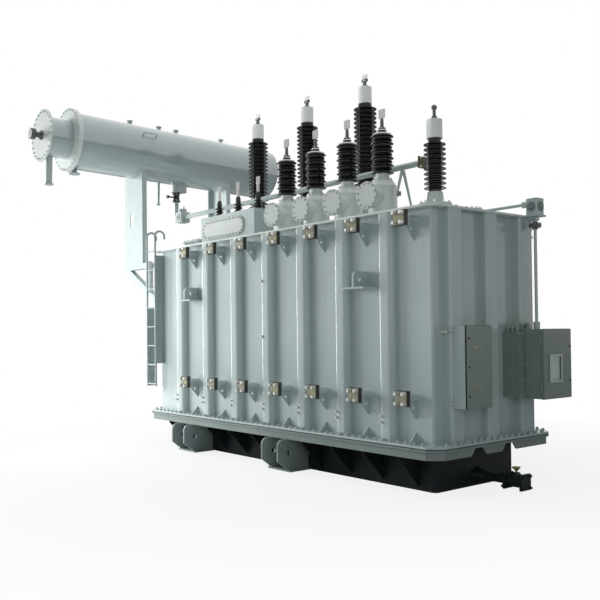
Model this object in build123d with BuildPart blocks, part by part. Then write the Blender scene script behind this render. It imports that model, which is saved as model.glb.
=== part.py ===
from build123d import *
import os

# Oil-immersed three-winding power transformer with a bell-type tank, its radiators taken off.
# Millimetres. The origin is on the ground under the middle of the tank, +X points to the cabinet end,
# +Y to the high-voltage side and +Z up.

# Tank and its bolted joint
tank_length = 5950
tank_width = 1910
tank_height = 2625
tank_corner = 30
flange_level = 580
flange_plate = 30
flange_overhang = 170
flange_corner = 150
rim_height = 90
rim_plate = 25
rim_setback = 20
rim_notch_places = (-360, 205)
rim_notch_top = 137
rim_notch_foot = 284
cover_plate = 25
cover_overhang = 110
cover_corner = 170

# Ribs bent from sheet, and the small gussets at the foot of the walls
rib_width = 225
rib_depth = 100
rib_sheet = 8
rib_bend = 35
rib_first = 640
rib_pitch = 760
rib_last = 600
end_rib_edge = 305
foot_gusset = 125
foot_gusset_plate = 14

# Base trough, its gussets and the cross-beams
trough_side_setback = 220
trough_end_setback = 180
trough_corner = 60
base_gusset_plate = 16
base_gusset_toe = 45
base_gusset_lip = 30
base_gusset_first = 440
base_gusset_pitch = 560
beam_first = 2590
beam_pitch = 2340
beam_count = 2
beam_spacing = 340
beam_plate = 30
beam_reach = 300
beam_tip_low = 150
beam_toe = 160
beam_round = 90
beam_hole = 70
beam_hole_inset = 190
beam_hole_level = 245
pad_plate = 25
pad_margin = 55

# Lifting lugs
lug_reach = 235
lug_hole_reach = 145
lug_height = 190
lug_plate = 30
lug_hole = 64
lug_round = 70
lug_level = 1785
lug_shelf_width = 340
lug_shelf_plate = 22

# Radiator connections
stub_low = 512
stub_rise = 2000
stub_pipe = 90
stub_length = 190
stub_flange = 176
stub_flange_plate = 16
stub_gusset = 200
stub_gusset_plate = 12
stub_gusset_hole = 34
valve_size = 176
valve_length = 45
blank_size = 160
blank_plate = 14

# Medium-voltage bushings
mv_first = 1096
mv_pitch = 631
mv_count = 4
mv_inset = 370
mv_turret = 360
mv_turret_height = 450
mv_neck = 290
mv_neck_front = 100
mv_neck_level = 260
mv_handhole = 340
mv_handhole_plate = 22
mv_shoulder = 40
mv_shoulder_drop = 60
mv_top_flange = 260
mv_top_flange_plate = 20
mv_collar = 176
mv_collar_height = 100
mv_core = 165
mv_shed = 285
mv_porcelain = 490
mv_sheds = 6
mv_nut = 84
mv_nut_height = 90
mv_stud = 36
mv_stud_height = 120
mv_terminal_width = 100
mv_terminal_height = 110
mv_terminal_plate = 18

# Low-voltage box and its bushings
lv_start = 3420
lv_length = 1410
lv_front = 100
lv_depth = 350
lv_height = 420
lv_sheet = 10
lv_cover_length = 1110
lv_cover_height = 280
lv_cover_shift = 100
lv_cover_plate = 20
lv_first = 3550
lv_pitch = 510
lv_count = 3
lv_core = 80
lv_shed = 140
lv_porcelain = 190
lv_sheds = 3
lv_stud = 44
lv_stud_height = 190
lv_blade = 80
lv_blade_height = 110
lv_blade_plate = 14

# Hatch on the cover
hatch_from_end = 5215
hatch_inset = 315
hatch_length = 560
hatch_width = 380
hatch_corner = 60
hatch_frame = 40
hatch_frame_height = 90
hatch_plate = 25

# High-voltage and neutral bushings
hv_first = 2488
hv_pitch = 1315
hv_count = 3
hv_inset = 460
hv_turret = 520
hv_turret_height = 600
hv_flange = 420
hv_flange_plate = 40
hv_core = 200
hv_shed = 335
hv_porcelain = 1300
hv_sheds = 19
hv_cap = 200
hv_cap_height = 245
hv_stud = 44
hv_stud_height = 110
hv_blade = 90
hv_blade_height = 75
hv_blade_plate = 20
neutral_from_end = 450
neutral_inset = 600
neutral_base = 480
neutral_base_plate = 30
neutral_turret = 400
neutral_turret_height = 90
neutral_neck_foot = 220
neutral_neck_top = 180
neutral_neck_height = 140
neutral_core = 150
neutral_shed = 265
neutral_porcelain = 640
neutral_sheds = 10
neutral_cap = 190
neutral_cap_height = 225
neutral_rod = 32
neutral_rod_height = 150
neutral_ball = 66

# Tap changer and its drive
tap_head_from_end = 800
tap_head = 460
tap_head_height = 150
tap_lid = 380
tap_lid_height = 40
shaft_out = 210
shaft_level = 145
shaft_size = 38
coupling_size = 80
coupling_length = 90
gear_box_size = 155
gear_box_height = 200
gear_shelf_reach = 190
gear_shelf_shift = 50
gear_shelf_width = 200
gear_shelf_plate = 20
gear_web_height = 90
shaft_clearance = 12

# Cabinets with hinged doors
cabinet_sheet = 5
door_depth = 30
door_sheet = 4
door_gap = 5
drive_low = 446
drive_width = 570
drive_height = 817
drive_depth = 355
drive_shift = 50
window_width = 210
window_height = 280
window_from_hinge = 234
window_from_top = 462
window_frame = 26
window_proud = 10
window_glass = 6
control_low = 400
control_width = 430
control_height = 910
control_depth = 165
control_shift = 125
hinge_knuckle = 22
hinge_pin = 10
hinge_play = 0.3
hinge_standoff = 3
hinge_leaf = 8
hinge_leaf_length = 26
hinge_segment = 36
hinge_inset = 130

# Cable box beside the drive cabinet
cable_box_low = 460
cable_box_width = 112
cable_box_height = 785
cable_box_depth = 230
cable_box_gap = 13
cable_lid_plate = 6
cable_lid_margin = 8

# Oil conservator and what carries it
conservator_size = 950
conservator_wall = 8
conservator_length = 4080
conservator_front = 1150
conservator_offset = 985
conservator_rise = 1840
conservator_tilt = 1.5
end_ring_size = 1060
end_ring_plate = 70
neck_size = 650
neck_length = 402
neck_wall = 8
disc_size = 865
disc_plate = 28
gauge_flange = 150
gauge_flange_plate = 22
gauge_neck = 90
gauge_size = 180
gauge_depth = 190
gauge_head = 75
rear_head_depth = 90
post_width = 640
post_depth = 90
post_sheet = 10
post_slot_height = 230
post_slot_width = 130
post_slot_round = 25
post_slot_drop = 1195
post_slot_shift = -60
post_inset = 20
bracket_level = 2500
bracket_reach = 1330
bracket_drop = 860
bracket_bar = 100
bracket_stay = 525
bracket_stay_bar = 60
saddle_clearance = 0.3
plug_from_front = (1093, 1676, 2032, 3032)
plug_size = 70
plug_height = 50
plug_cap = 105
plug_cap_plate = 22
sump_size = 285
sump_drop = 129
stub_drain_from_front = 78
stub_drain = 90
stub_drain_drop = 90
stub_drain_flange = 190
filling_from_front = 1695
filling_pipe = 42
filling_drop = 419
filling_flange = 72
neck_drain_from_ring = 290
neck_drain = 105
neck_drain_drop = 480
neck_drain_flange = 150

# Breather on the front bracket
breather_from_end = 250
breather_standoff = 88
breather_cap = 130
breather_glass = 104
breather_cup = 120
breather_length = 545
breather_cap_height = 95
breather_cup_height = 110
breather_neck = 40
breather_mount = 80

# Main oil pipe with the gas relay
pipe_size = 80
pipe_level = 750
pipe_bend = 100
pipe_end_from_end = 970
down_shift = -95
down_valve_height = 166
down_valve_body = 112
down_valve_stem = 30
down_valve_reach = 170
down_valve_knob = 64
relay_place = 125
relay_length = 200
relay_body = 190
relay_lid = 150
relay_lid_height = 60
pipe_flange = 150
pipe_flange_plate = 18
pipe_blank_plate = 22
support_from_end = (1300, 3145, 4460)
support_spread = 460
support_bar = 16
support_saddle = 70

# Ladder
ladder_inset = 94
ladder_width = 275
ladder_low = 390
ladder_high = 2970
ladder_rail = 34
ladder_rung = 22
ladder_rung_pitch = 316
ladder_rung_first = 40
ladder_clearance = 8
ladder_hook = 88
ladder_hook_end = 40
ladder_side_plate = 10
ladder_side_foot = 380
ladder_side_head = 60
ladder_guard_head = 1300

# Drain
drain_pipe = 95
drain_mouth = 200
drain_mouth_length = 170
drain_level = 125
drain_length = 430
drain_flange = 180
drain_flange_plate = 32
drain_valve_length = 260
drain_valve_body = 140
drain_bonnet = 118
drain_bonnet_rise = 100
drain_bonnet_slope = 24
drain_stem = 26
drain_stem_rise = 16
drain_knob = 95
drain_knob_rise = 34
drain_knob_lip = 10

# Places worked out from the sizes above
wall_front = -tank_width / 2
wall_rear = tank_width / 2
near_end = tank_length / 2
far_end = -tank_length / 2
cover_level = flange_level + tank_height
cover_top = cover_level + cover_plate
base_flange_bottom = flange_level - 2 * flange_plate
rim_bottom = base_flange_bottom - rim_height
flange_length = tank_length + 2 * flange_overhang
flange_width = tank_width + 2 * flange_overhang
trough_length = tank_length - 2 * trough_end_setback
trough_width = tank_width - 2 * trough_side_setback
trough_front = -trough_width / 2
rim_inside = wall_front - flange_overhang + rim_setback + rim_plate
rib_count = int((tank_length - rib_first - rib_last) // rib_pitch) + 1
rib_places = [near_end - rib_first - k * rib_pitch for k in range(rib_count)]
bay_places = [x + rib_pitch / 2 for x in rib_places]
front_rib = wall_front + end_rib_edge
rear_rib = wall_rear - end_rib_edge
end_rib_places = [front_rib, 0, rear_rib]
beam_places = [near_end - beam_first - k * beam_pitch for k in range(beam_count)]
stub_levels = [flange_level + stub_low, flange_level + stub_low + stub_rise]
stub_places = [(x, z) for x in bay_places for z in stub_levels]
cabinet_back = near_end + rib_depth
drive_place = rear_rib + drive_shift
control_place = front_rib + control_shift

front_face = Plane.XZ.offset(-wall_front)
os.makedirs("parts", exist_ok=True)


def write(solid, name):
    """Labels a finished piece and writes it as its own file."""
    solid.label = name
    export_step(solid, f"parts/{name}.step")


def turned(outline):
    """A solid turned about Z from a closed outline of (radius, height) points."""
    with BuildPart() as piece:
        with BuildSketch(Plane.XZ):
            with BuildLine():
                Polyline(*outline, close=True)
            make_face()
        revolve(axis=Axis.Z)
    return piece.part


def porcelain(core, shed, length, sheds, low):
    """A shedded insulator: a plain core with evenly spaced sheds that slope down to a thin rim."""
    pitch = length / (sheds + 1)
    rim = pitch / 8
    outline = [(0, low), (core / 2, low)]
    for k in range(sheds):
        foot = low + (k + 0.7) * pitch
        outline += [(core / 2, foot), (shed / 2, foot)]
        outline += [(shed / 2, foot + rim), (core / 2, foot + 0.6 * pitch)]
    outline += [(core / 2, low + length), (0, low + length)]
    return turned(outline)


# Base trough: the lower tank, a closed steel pan that stands on the ground
with BuildPart() as base_trough:
    with BuildSketch():
        RectangleRounded(trough_length, trough_width, trough_corner)
    extrude(amount=base_flange_bottom)
write(base_trough.part, "base_trough")

# Base flange with the rim band welded under its edge, notched at both ends
with BuildPart() as base_flange:
    with BuildSketch(Plane.XY.offset(base_flange_bottom)) as base_outline:
        Rectangle(flange_length, flange_width)
        chamfer(base_outline.vertices(), flange_corner)
    extrude(amount=flange_plate)
    with BuildSketch(Plane.XY.offset(rim_bottom)) as rim_outline:
        Rectangle(flange_length - 2 * rim_setback, flange_width - 2 * rim_setback)
        chamfer(rim_outline.vertices(), flange_corner)
        offset(amount=-rim_plate, kind=Kind.INTERSECTION, mode=Mode.SUBTRACT)
    extrude(amount=rim_height)
    with BuildSketch(Plane.YZ):
        for y in rim_notch_places:
            with BuildLine():
                Polyline(
                    (y - rim_notch_foot / 2, rim_bottom),
                    (y + rim_notch_foot / 2, rim_bottom),
                    (y + rim_notch_top / 2, base_flange_bottom),
                    (y - rim_notch_top / 2, base_flange_bottom),
                    close=True,
                )
            make_face()
    extrude(amount=flange_length / 2, both=True, mode=Mode.SUBTRACT)
write(base_flange.part, "base_flange")

# Base gussets: sloping webs between the flange and the foot of the trough
beam_half = beam_spacing / 2 + beam_plate / 2 + pad_margin
gusset_span = range(int((trough_length - base_gusset_first) // base_gusset_pitch) + 1)
gusset_places = [near_end - base_gusset_first - k * base_gusset_pitch for k in gusset_span]
gusset_places = [
    x for x in gusset_places
    if all(abs(x - beam) > beam_half + base_gusset_plate for beam in beam_places)
]
with BuildPart() as base_gussets:
    with BuildSketch(*[Plane.YZ.offset(x) for x in gusset_places]):
        with BuildLine():
            Polyline(
                (trough_front, base_flange_bottom),
                (rim_inside, base_flange_bottom),
                (rim_inside, rim_bottom - base_gusset_lip),
                (trough_front, base_gusset_toe),
                close=True,
            )
        make_face()
    extrude(amount=base_gusset_plate / 2, both=True)
    mirror(about=Plane.XZ)
write(base_gussets.part, "base_gussets")

# Cross-beams: pairs of holed plates for jacking and pulling the transformer
beam_tip = wall_front - beam_reach
with BuildPart() as cross_beams:
    for beam in beam_places:
        for side in (-1, 1):
            with BuildSketch(Plane.YZ.offset(beam + side * beam_spacing / 2)) as beam_face:
                with BuildLine():
                    Polyline(
                        (trough_front, pad_plate),
                        (beam_tip + beam_toe, pad_plate),
                        (beam_tip, beam_tip_low),
                        (beam_tip, rim_bottom),
                        (trough_front, rim_bottom),
                        close=True,
                    )
                make_face()
                fillet(beam_face.vertices().group_by(Axis.X)[0].sort_by(Axis.Y)[-1], beam_round)
                with Locations((beam_tip + beam_hole_inset, beam_hole_level)):
                    Circle(beam_hole / 2, mode=Mode.SUBTRACT)
            extrude(amount=beam_plate / 2, both=True)
    mirror(about=Plane.XZ)
write(cross_beams.part, "cross_beams")

# Beam pads: the foot plates under each pair of beam plates
with BuildPart() as beam_pads:
    with BuildSketch():
        with Locations(*[(beam, trough_front) for beam in beam_places]):
            Rectangle(2 * beam_half, trough_front - beam_tip - beam_toe, align=(Align.CENTER, Align.MAX))
    extrude(amount=pad_plate)
    mirror(about=Plane.XZ)
write(beam_pads.part, "beam_pads")

# Bell flange: the upper half of the bolted joint
with BuildPart() as bell_flange:
    with BuildSketch(Plane.XY.offset(flange_level - flange_plate)) as bell_outline:
        Rectangle(flange_length, flange_width)
        chamfer(bell_outline.vertices(), flange_corner)
    extrude(amount=flange_plate)
write(bell_flange.part, "bell_flange")

# Tank body: the closed bell over core, windings and oil
with BuildPart() as tank_body:
    with BuildSketch(Plane.XY.offset(flange_level)):
        RectangleRounded(tank_length, tank_width, tank_corner)
    extrude(amount=tank_height)
write(tank_body.part, "tank_body")

# Side ribs: bent channels welded to the long walls from flange to cover
with BuildPart() as side_ribs:
    with BuildSketch(Plane.XY.offset(flange_level)) as side_rib_plan:
        with Locations(*[(x, wall_front) for x in rib_places]):
            Rectangle(rib_width, rib_depth, align=(Align.CENTER, Align.MAX))
        fillet(side_rib_plan.vertices().group_by(Axis.Y)[0], rib_bend)
    extrude(amount=tank_height)
    with BuildSketch(Plane.XY.offset(flange_level)) as side_rib_hollow:
        with Locations(*[(x, wall_front) for x in rib_places]):
            Rectangle(rib_width - 2 * rib_sheet, rib_depth - rib_sheet, align=(Align.CENTER, Align.MAX))
        fillet(side_rib_hollow.vertices().group_by(Axis.Y)[0], rib_bend - rib_sheet)
    extrude(amount=tank_height, mode=Mode.SUBTRACT)
    mirror(about=Plane.XZ)
write(side_ribs.part, "side_ribs")

# End ribs: the same channels on the two end walls
with BuildPart() as end_ribs:
    with BuildSketch(Plane.XY.offset(flange_level)) as end_rib_plan:
        with Locations(*[(near_end, y) for y in end_rib_places]):
            Rectangle(rib_depth, rib_width, align=(Align.MIN, Align.CENTER))
        fillet(end_rib_plan.vertices().group_by(Axis.X)[-1], rib_bend)
    extrude(amount=tank_height)
    with BuildSketch(Plane.XY.offset(flange_level)) as end_rib_hollow:
        with Locations(*[(near_end, y) for y in end_rib_places]):
            Rectangle(rib_depth - rib_sheet, rib_width - 2 * rib_sheet, align=(Align.MIN, Align.CENTER))
        fillet(end_rib_hollow.vertices().group_by(Axis.X)[-1], rib_bend - rib_sheet)
    extrude(amount=tank_height, mode=Mode.SUBTRACT)
    mirror(about=Plane.YZ)
write(end_ribs.part, "end_ribs")

# Foot gussets: small triangles between the bell flange and the long walls, one in each bay
with BuildPart() as foot_gussets:
    for side in (-1, 1):
        with BuildSketch(*[Plane.YZ.offset(x) for x in bay_places]):
            with BuildLine():
                Polyline(
                    (side * wall_rear, flange_level),
                    (side * (wall_rear + foot_gusset), flange_level),
                    (side * wall_rear, flange_level + foot_gusset),
                    close=True,
                )
            make_face()
        extrude(amount=foot_gusset_plate / 2, both=True)
write(foot_gussets.part, "foot_gussets")

# Lifting lugs: a holed plate standing on a shelf, two on each long wall
lug_places = [bay_places[1], bay_places[-1]]
lug_shelf = flange_level + lug_level
with BuildPart() as lifting_lugs:
    with BuildSketch(Plane.XY.offset(lug_shelf - lug_shelf_plate)):
        with Locations(*[(x, wall_front) for x in lug_places]):
            Rectangle(lug_shelf_width, lug_reach, align=(Align.CENTER, Align.MAX))
    extrude(amount=lug_shelf_plate)
    with BuildSketch(*[Plane.YZ.offset(x) for x in lug_places]) as lug_face:
        with Locations((wall_front, lug_shelf)):
            Rectangle(lug_reach, lug_height, align=(Align.MAX, Align.MIN))
        fillet(lug_face.vertices().group_by(Axis.X)[0].sort_by(Axis.Y)[-1], lug_round)
        with Locations((wall_front - lug_hole_reach, lug_shelf + lug_height / 2)):
            Circle(lug_hole / 2, mode=Mode.SUBTRACT)
    extrude(amount=lug_plate / 2, both=True)
    mirror(about=Plane.XZ)
write(lifting_lugs.part, "lifting_lugs")

# Tank cover
with BuildPart() as tank_cover:
    with BuildSketch(Plane.XY.offset(cover_level)):
        RectangleRounded(
            tank_length + 2 * cover_overhang, tank_width + 2 * cover_overhang, cover_corner
        )
    extrude(amount=cover_plate)
write(tank_cover.part, "tank_cover")

# Radiator stubs: short pipes with a square flange, each on a holed gusset
with BuildPart() as radiator_stubs:
    with BuildSketch(front_face):
        with Locations(*stub_places):
            Circle(stub_pipe / 2)
    extrude(amount=stub_length)
    with BuildSketch(front_face.offset(stub_length - stub_flange_plate)):
        with Locations(*stub_places):
            Rectangle(stub_flange, stub_flange)
    extrude(amount=stub_flange_plate)
    stub_gusset_reach = stub_length - stub_flange_plate
    for level in stub_levels:
        with BuildSketch(*[Plane.YZ.offset(x) for x in bay_places]):
            with BuildLine():
                Polyline(
                    (wall_front, level),
                    (wall_front - stub_gusset_reach, level),
                    (wall_front - stub_gusset_reach, level - stub_pipe / 2),
                    (wall_front, level - stub_pipe / 2 - stub_gusset),
                    close=True,
                )
            make_face()
            with Locations((wall_front - stub_gusset_reach / 3, level - stub_pipe / 2 - stub_gusset / 3)):
                Circle(stub_gusset_hole / 2, mode=Mode.SUBTRACT)
        extrude(amount=stub_gusset_plate / 2, both=True)
    mirror(about=Plane.XZ)
write(radiator_stubs.part, "radiator_stubs")

# Radiator valves: flat shut-off valves bolted to the stubs
with BuildPart() as radiator_valves:
    with BuildSketch(front_face.offset(stub_length)):
        with Locations(*stub_places):
            Rectangle(valve_size, valve_size)
    extrude(amount=valve_length)
    mirror(about=Plane.XZ)
write(radiator_valves.part, "radiator_valves")

# Blanking plates: square covers bolted over the valves while the radiators are off
with BuildPart() as blanking_plates:
    with BuildSketch(front_face.offset(stub_length + valve_length)):
        with Locations(*stub_places):
            Rectangle(blank_size, blank_size)
    extrude(amount=blank_plate)
    mirror(about=Plane.XZ)
write(blanking_plates.part, "blanking_plates")

# Medium-voltage turrets: upright pipes with a short neck to the front for the handhole
mv_y = wall_front + mv_inset
mv_places = [near_end - mv_first - k * mv_pitch for k in range(mv_count)]
mv_turret_top = cover_top + mv_turret_height
mv_neck_face = wall_front + mv_neck_front
mv_stand = turned([
    (0, cover_top),
    (mv_turret / 2, cover_top),
    (mv_turret / 2, mv_turret_top - mv_shoulder_drop),
    (mv_turret / 2 - mv_shoulder, mv_turret_top),
    (mv_top_flange / 2, mv_turret_top),
    (mv_top_flange / 2, mv_turret_top + mv_top_flange_plate),
    (mv_collar / 2, mv_turret_top + mv_top_flange_plate),
    (mv_collar / 2, mv_turret_top + mv_collar_height),
    (0, mv_turret_top + mv_collar_height),
])
with BuildPart() as mv_turrets:
    with Locations(*[(x, mv_y, 0) for x in mv_places]):
        add(mv_stand)
    with BuildSketch(Plane.XZ.offset(-mv_y)):
        with Locations(*[(x, cover_top + mv_neck_level) for x in mv_places]):
            Circle(mv_neck / 2)
    extrude(amount=mv_y - mv_neck_face)
write(mv_turrets.part, "mv_turrets")

# Handhole covers: round bolted plates on the turret necks
with BuildPart() as mv_handhole_covers:
    with BuildSketch(Plane.XZ.offset(-mv_neck_face)):
        with Locations(*[(x, cover_top + mv_neck_level) for x in mv_places]):
            Circle(mv_handhole / 2)
    extrude(amount=mv_handhole_plate)
write(mv_handhole_covers.part, "mv_handhole_covers")

# Medium-voltage porcelains
mv_porcelain_low = mv_turret_top + mv_collar_height
mv_insulator = porcelain(mv_core, mv_shed, mv_porcelain, mv_sheds, mv_porcelain_low)
with BuildPart() as mv_porcelains:
    with Locations(*[(x, mv_y, 0) for x in mv_places]):
        add(mv_insulator)
write(mv_porcelains.part, "mv_porcelains")

# Medium-voltage terminals: nut, stud and flat terminal block
mv_metal_low = mv_porcelain_low + mv_porcelain
mv_bolt = turned([
    (0, mv_metal_low),
    (mv_nut / 2, mv_metal_low),
    (mv_nut / 2, mv_metal_low + mv_nut_height),
    (mv_stud / 2, mv_metal_low + mv_nut_height),
    (mv_stud / 2, mv_metal_low + mv_nut_height + mv_stud_height),
    (0, mv_metal_low + mv_nut_height + mv_stud_height),
])
with BuildPart() as mv_terminals:
    with Locations(*[(x, mv_y, 0) for x in mv_places]):
        add(mv_bolt)
    with BuildSketch(Plane.XY.offset(mv_metal_low + mv_nut_height + mv_stud_height)):
        with Locations(*[(x, mv_y) for x in mv_places]):
            Rectangle(mv_terminal_width, mv_terminal_plate)
    extrude(amount=mv_terminal_height)
write(mv_terminals.part, "mv_terminals")

# Low-voltage box on the cover
lv_middle = near_end - lv_start - lv_length / 2
lv_face = wall_front + lv_front
lv_top = cover_top + lv_height
with BuildPart() as lv_box:
    with BuildSketch(Plane.XY.offset(cover_top)):
        with Locations((lv_middle, lv_face)):
            Rectangle(lv_length, lv_depth, align=(Align.CENTER, Align.MIN))
    extrude(amount=lv_height)
    with BuildSketch(Plane.XY.offset(cover_top)):
        with Locations((lv_middle, lv_face + lv_sheet)):
            Rectangle(
                lv_length - 2 * lv_sheet, lv_depth - 2 * lv_sheet, align=(Align.CENTER, Align.MIN)
            )
    extrude(amount=lv_height - lv_sheet, mode=Mode.SUBTRACT)
write(lv_box.part, "lv_box")

# Long bolted cover on the front of the low-voltage box
with BuildPart() as lv_box_cover:
    with BuildSketch(Plane.XZ.offset(-lv_face)):
        with Locations((lv_middle - lv_cover_shift, cover_top + lv_height / 2)):
            SlotOverall(lv_cover_length, lv_cover_height)
    extrude(amount=lv_cover_plate)
write(lv_box_cover.part, "lv_box_cover")

# Low-voltage porcelains
lv_y = lv_face + lv_depth / 2
lv_places = [near_end - lv_first - k * lv_pitch for k in range(lv_count)]
lv_insulator = porcelain(lv_core, lv_shed, lv_porcelain, lv_sheds, lv_top)
with BuildPart() as lv_porcelains:
    with Locations(*[(x, lv_y, 0) for x in lv_places]):
        add(lv_insulator)
write(lv_porcelains.part, "lv_porcelains")

# Low-voltage terminals
lv_metal_low = lv_top + lv_porcelain
with BuildPart() as lv_terminals:
    with BuildSketch(Plane.XY.offset(lv_metal_low)):
        with Locations(*[(x, lv_y) for x in lv_places]):
            Circle(lv_stud / 2)
    extrude(amount=lv_stud_height)
    with BuildSketch(Plane.XY.offset(lv_metal_low + lv_stud_height)):
        with Locations(*[(x, lv_y) for x in lv_places]):
            Rectangle(lv_blade, lv_blade_plate)
    extrude(amount=lv_blade_height)
write(lv_terminals.part, "lv_terminals")

# Cover hatch: a low welded frame with a bolted plate
with BuildPart() as cover_hatch:
    with BuildSketch(Plane.XY.offset(cover_top)):
        with Locations((near_end - hatch_from_end, wall_front + hatch_inset)):
            RectangleRounded(
                hatch_length - 2 * hatch_frame, hatch_width - 2 * hatch_frame, hatch_corner - hatch_frame
            )
    extrude(amount=hatch_frame_height)
    with BuildSketch(Plane.XY.offset(cover_top + hatch_frame_height)):
        with Locations((near_end - hatch_from_end, wall_front + hatch_inset)):
            RectangleRounded(hatch_length, hatch_width, hatch_corner)
    extrude(amount=hatch_plate)
write(cover_hatch.part, "cover_hatch")

# High-voltage turrets with the flange that carries the bushing
hv_y = wall_rear - hv_inset
hv_places = [near_end - hv_first - k * hv_pitch for k in range(hv_count)]
hv_turret_top = cover_top + hv_turret_height
hv_stand = turned([
    (0, cover_top),
    (hv_turret / 2, cover_top),
    (hv_turret / 2, hv_turret_top),
    (hv_flange / 2, hv_turret_top),
    (hv_flange / 2, hv_turret_top + hv_flange_plate),
    (0, hv_turret_top + hv_flange_plate),
])
with BuildPart() as hv_turrets:
    with Locations(*[(x, hv_y, 0) for x in hv_places]):
        add(hv_stand)
write(hv_turrets.part, "hv_turrets")

# High-voltage porcelains
hv_porcelain_low = hv_turret_top + hv_flange_plate
hv_insulator = porcelain(hv_core, hv_shed, hv_porcelain, hv_sheds, hv_porcelain_low)
with BuildPart() as hv_porcelains:
    with Locations(*[(x, hv_y, 0) for x in hv_places]):
        add(hv_insulator)
write(hv_porcelains.part, "hv_porcelains")

# High-voltage caps with stud and terminal blade
hv_cap_low = hv_porcelain_low + hv_porcelain
hv_head = turned([
    (0, hv_cap_low),
    (hv_cap / 2, hv_cap_low),
    (hv_cap / 2, hv_cap_low + hv_cap_height),
    (hv_stud / 2, hv_cap_low + hv_cap_height),
    (hv_stud / 2, hv_cap_low + hv_cap_height + hv_stud_height),
    (0, hv_cap_low + hv_cap_height + hv_stud_height),
])
with BuildPart() as hv_caps:
    with Locations(*[(x, hv_y, 0) for x in hv_places]):
        add(hv_head)
    with BuildSketch(Plane.XY.offset(hv_cap_low + hv_cap_height + hv_stud_height)):
        with Locations(*[(x, hv_y) for x in hv_places]):
            Rectangle(hv_blade, hv_blade_plate)
    extrude(amount=hv_blade_height)
write(hv_caps.part, "hv_caps")

# Neutral turret: a low bolted platform with a tapered neck
neutral_x = near_end - neutral_from_end
neutral_y = wall_front + neutral_inset
neutral_deck = cover_top + neutral_base_plate
neutral_shoulder = neutral_deck + neutral_turret_height
neutral_low = neutral_shoulder + neutral_neck_height
neutral_stand = turned([
    (0, cover_top),
    (neutral_base / 2, cover_top),
    (neutral_base / 2, neutral_deck),
    (neutral_turret / 2, neutral_deck),
    (neutral_turret / 2, neutral_shoulder),
    (neutral_neck_foot / 2, neutral_shoulder),
    (neutral_neck_top / 2, neutral_low),
    (0, neutral_low),
])
with BuildPart() as neutral_turret_stand:
    with Locations((neutral_x, neutral_y, 0)):
        add(neutral_stand)
write(neutral_turret_stand.part, "neutral_turret")

# Neutral porcelain
neutral_insulator = porcelain(neutral_core, neutral_shed, neutral_porcelain, neutral_sheds, neutral_low)
with BuildPart() as neutral_porcelain_body:
    with Locations((neutral_x, neutral_y, 0)):
        add(neutral_insulator)
write(neutral_porcelain_body.part, "neutral_porcelain")

# Neutral cap with its rod and ball
neutral_cap_low = neutral_low + neutral_porcelain
neutral_rod_top = neutral_cap_low + neutral_cap_height + neutral_rod_height
neutral_head = turned([
    (0, neutral_cap_low),
    (neutral_cap / 2, neutral_cap_low),
    (neutral_cap / 2, neutral_cap_low + neutral_cap_height),
    (neutral_rod / 2, neutral_cap_low + neutral_cap_height),
    (neutral_rod / 2, neutral_rod_top),
    (0, neutral_rod_top),
])
with BuildPart() as neutral_cap_body:
    with Locations((neutral_x, neutral_y, 0)):
        add(neutral_head)
    with Locations((neutral_x, neutral_y, neutral_rod_top)):
        Sphere(neutral_ball / 2)
write(neutral_cap_body.part, "neutral_cap")

# Tap-changer head on the cover
tap_x = near_end - tap_head_from_end
tap_top = cover_top + tap_head_height
with BuildPart() as tap_changer_head:
    with BuildSketch(Plane.XY.offset(cover_top)):
        with Locations((tap_x, drive_place)):
            Circle(tap_head / 2)
    extrude(amount=tap_head_height)
    with BuildSketch(Plane.XY.offset(tap_top)):
        with Locations((tap_x, drive_place)):
            Circle(tap_lid / 2)
    extrude(amount=tap_lid_height)
    with BuildSketch(Plane.YZ.offset(tap_x)):
        with Locations((drive_place, cover_top + tap_head_height / 2)):
            Rectangle(tap_head / 2, tap_head_height)
    extrude(amount=tap_head / 2)
write(tap_changer_head.part, "tap_changer_head")

# Gear shelf: a plate at cover level with a web on the end rib, holding the bevel gear box
shaft_x = near_end + shaft_out
shelf_back = near_end + cover_overhang
shelf_middle = rear_rib + gear_shelf_shift
shelf_top = cover_level + gear_shelf_plate
with BuildPart() as gear_shelf:
    with BuildSketch(Plane.XY.offset(cover_level)):
        with Locations((shelf_back, shelf_middle)):
            Rectangle(gear_shelf_reach, gear_shelf_width, align=(Align.MIN, Align.CENTER))
        with Locations((shaft_x, drive_place)):
            Circle(shaft_size / 2 + shaft_clearance, mode=Mode.SUBTRACT)
    extrude(amount=gear_shelf_plate)
    with BuildSketch(Plane.XZ.offset(-rear_rib)):
        with BuildLine():
            Polyline(
                (cabinet_back, cover_level),
                (shelf_back + gear_shelf_reach, cover_level),
                (cabinet_back, cover_level - gear_web_height),
                close=True,
            )
        make_face()
    extrude(amount=stub_gusset_plate / 2, both=True)
write(gear_shelf.part, "gear_shelf")

# Bevel gear box
with BuildPart() as gear_box:
    with BuildSketch(Plane.XY.offset(shelf_top)):
        with Locations((shaft_x, drive_place)):
            Rectangle(gear_box_size, gear_box_size)
    extrude(amount=gear_box_height)
    fillet(gear_box.edges().filter_by(Axis.Z), gear_box_size / 12)
write(gear_box.part, "gear_box")

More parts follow.
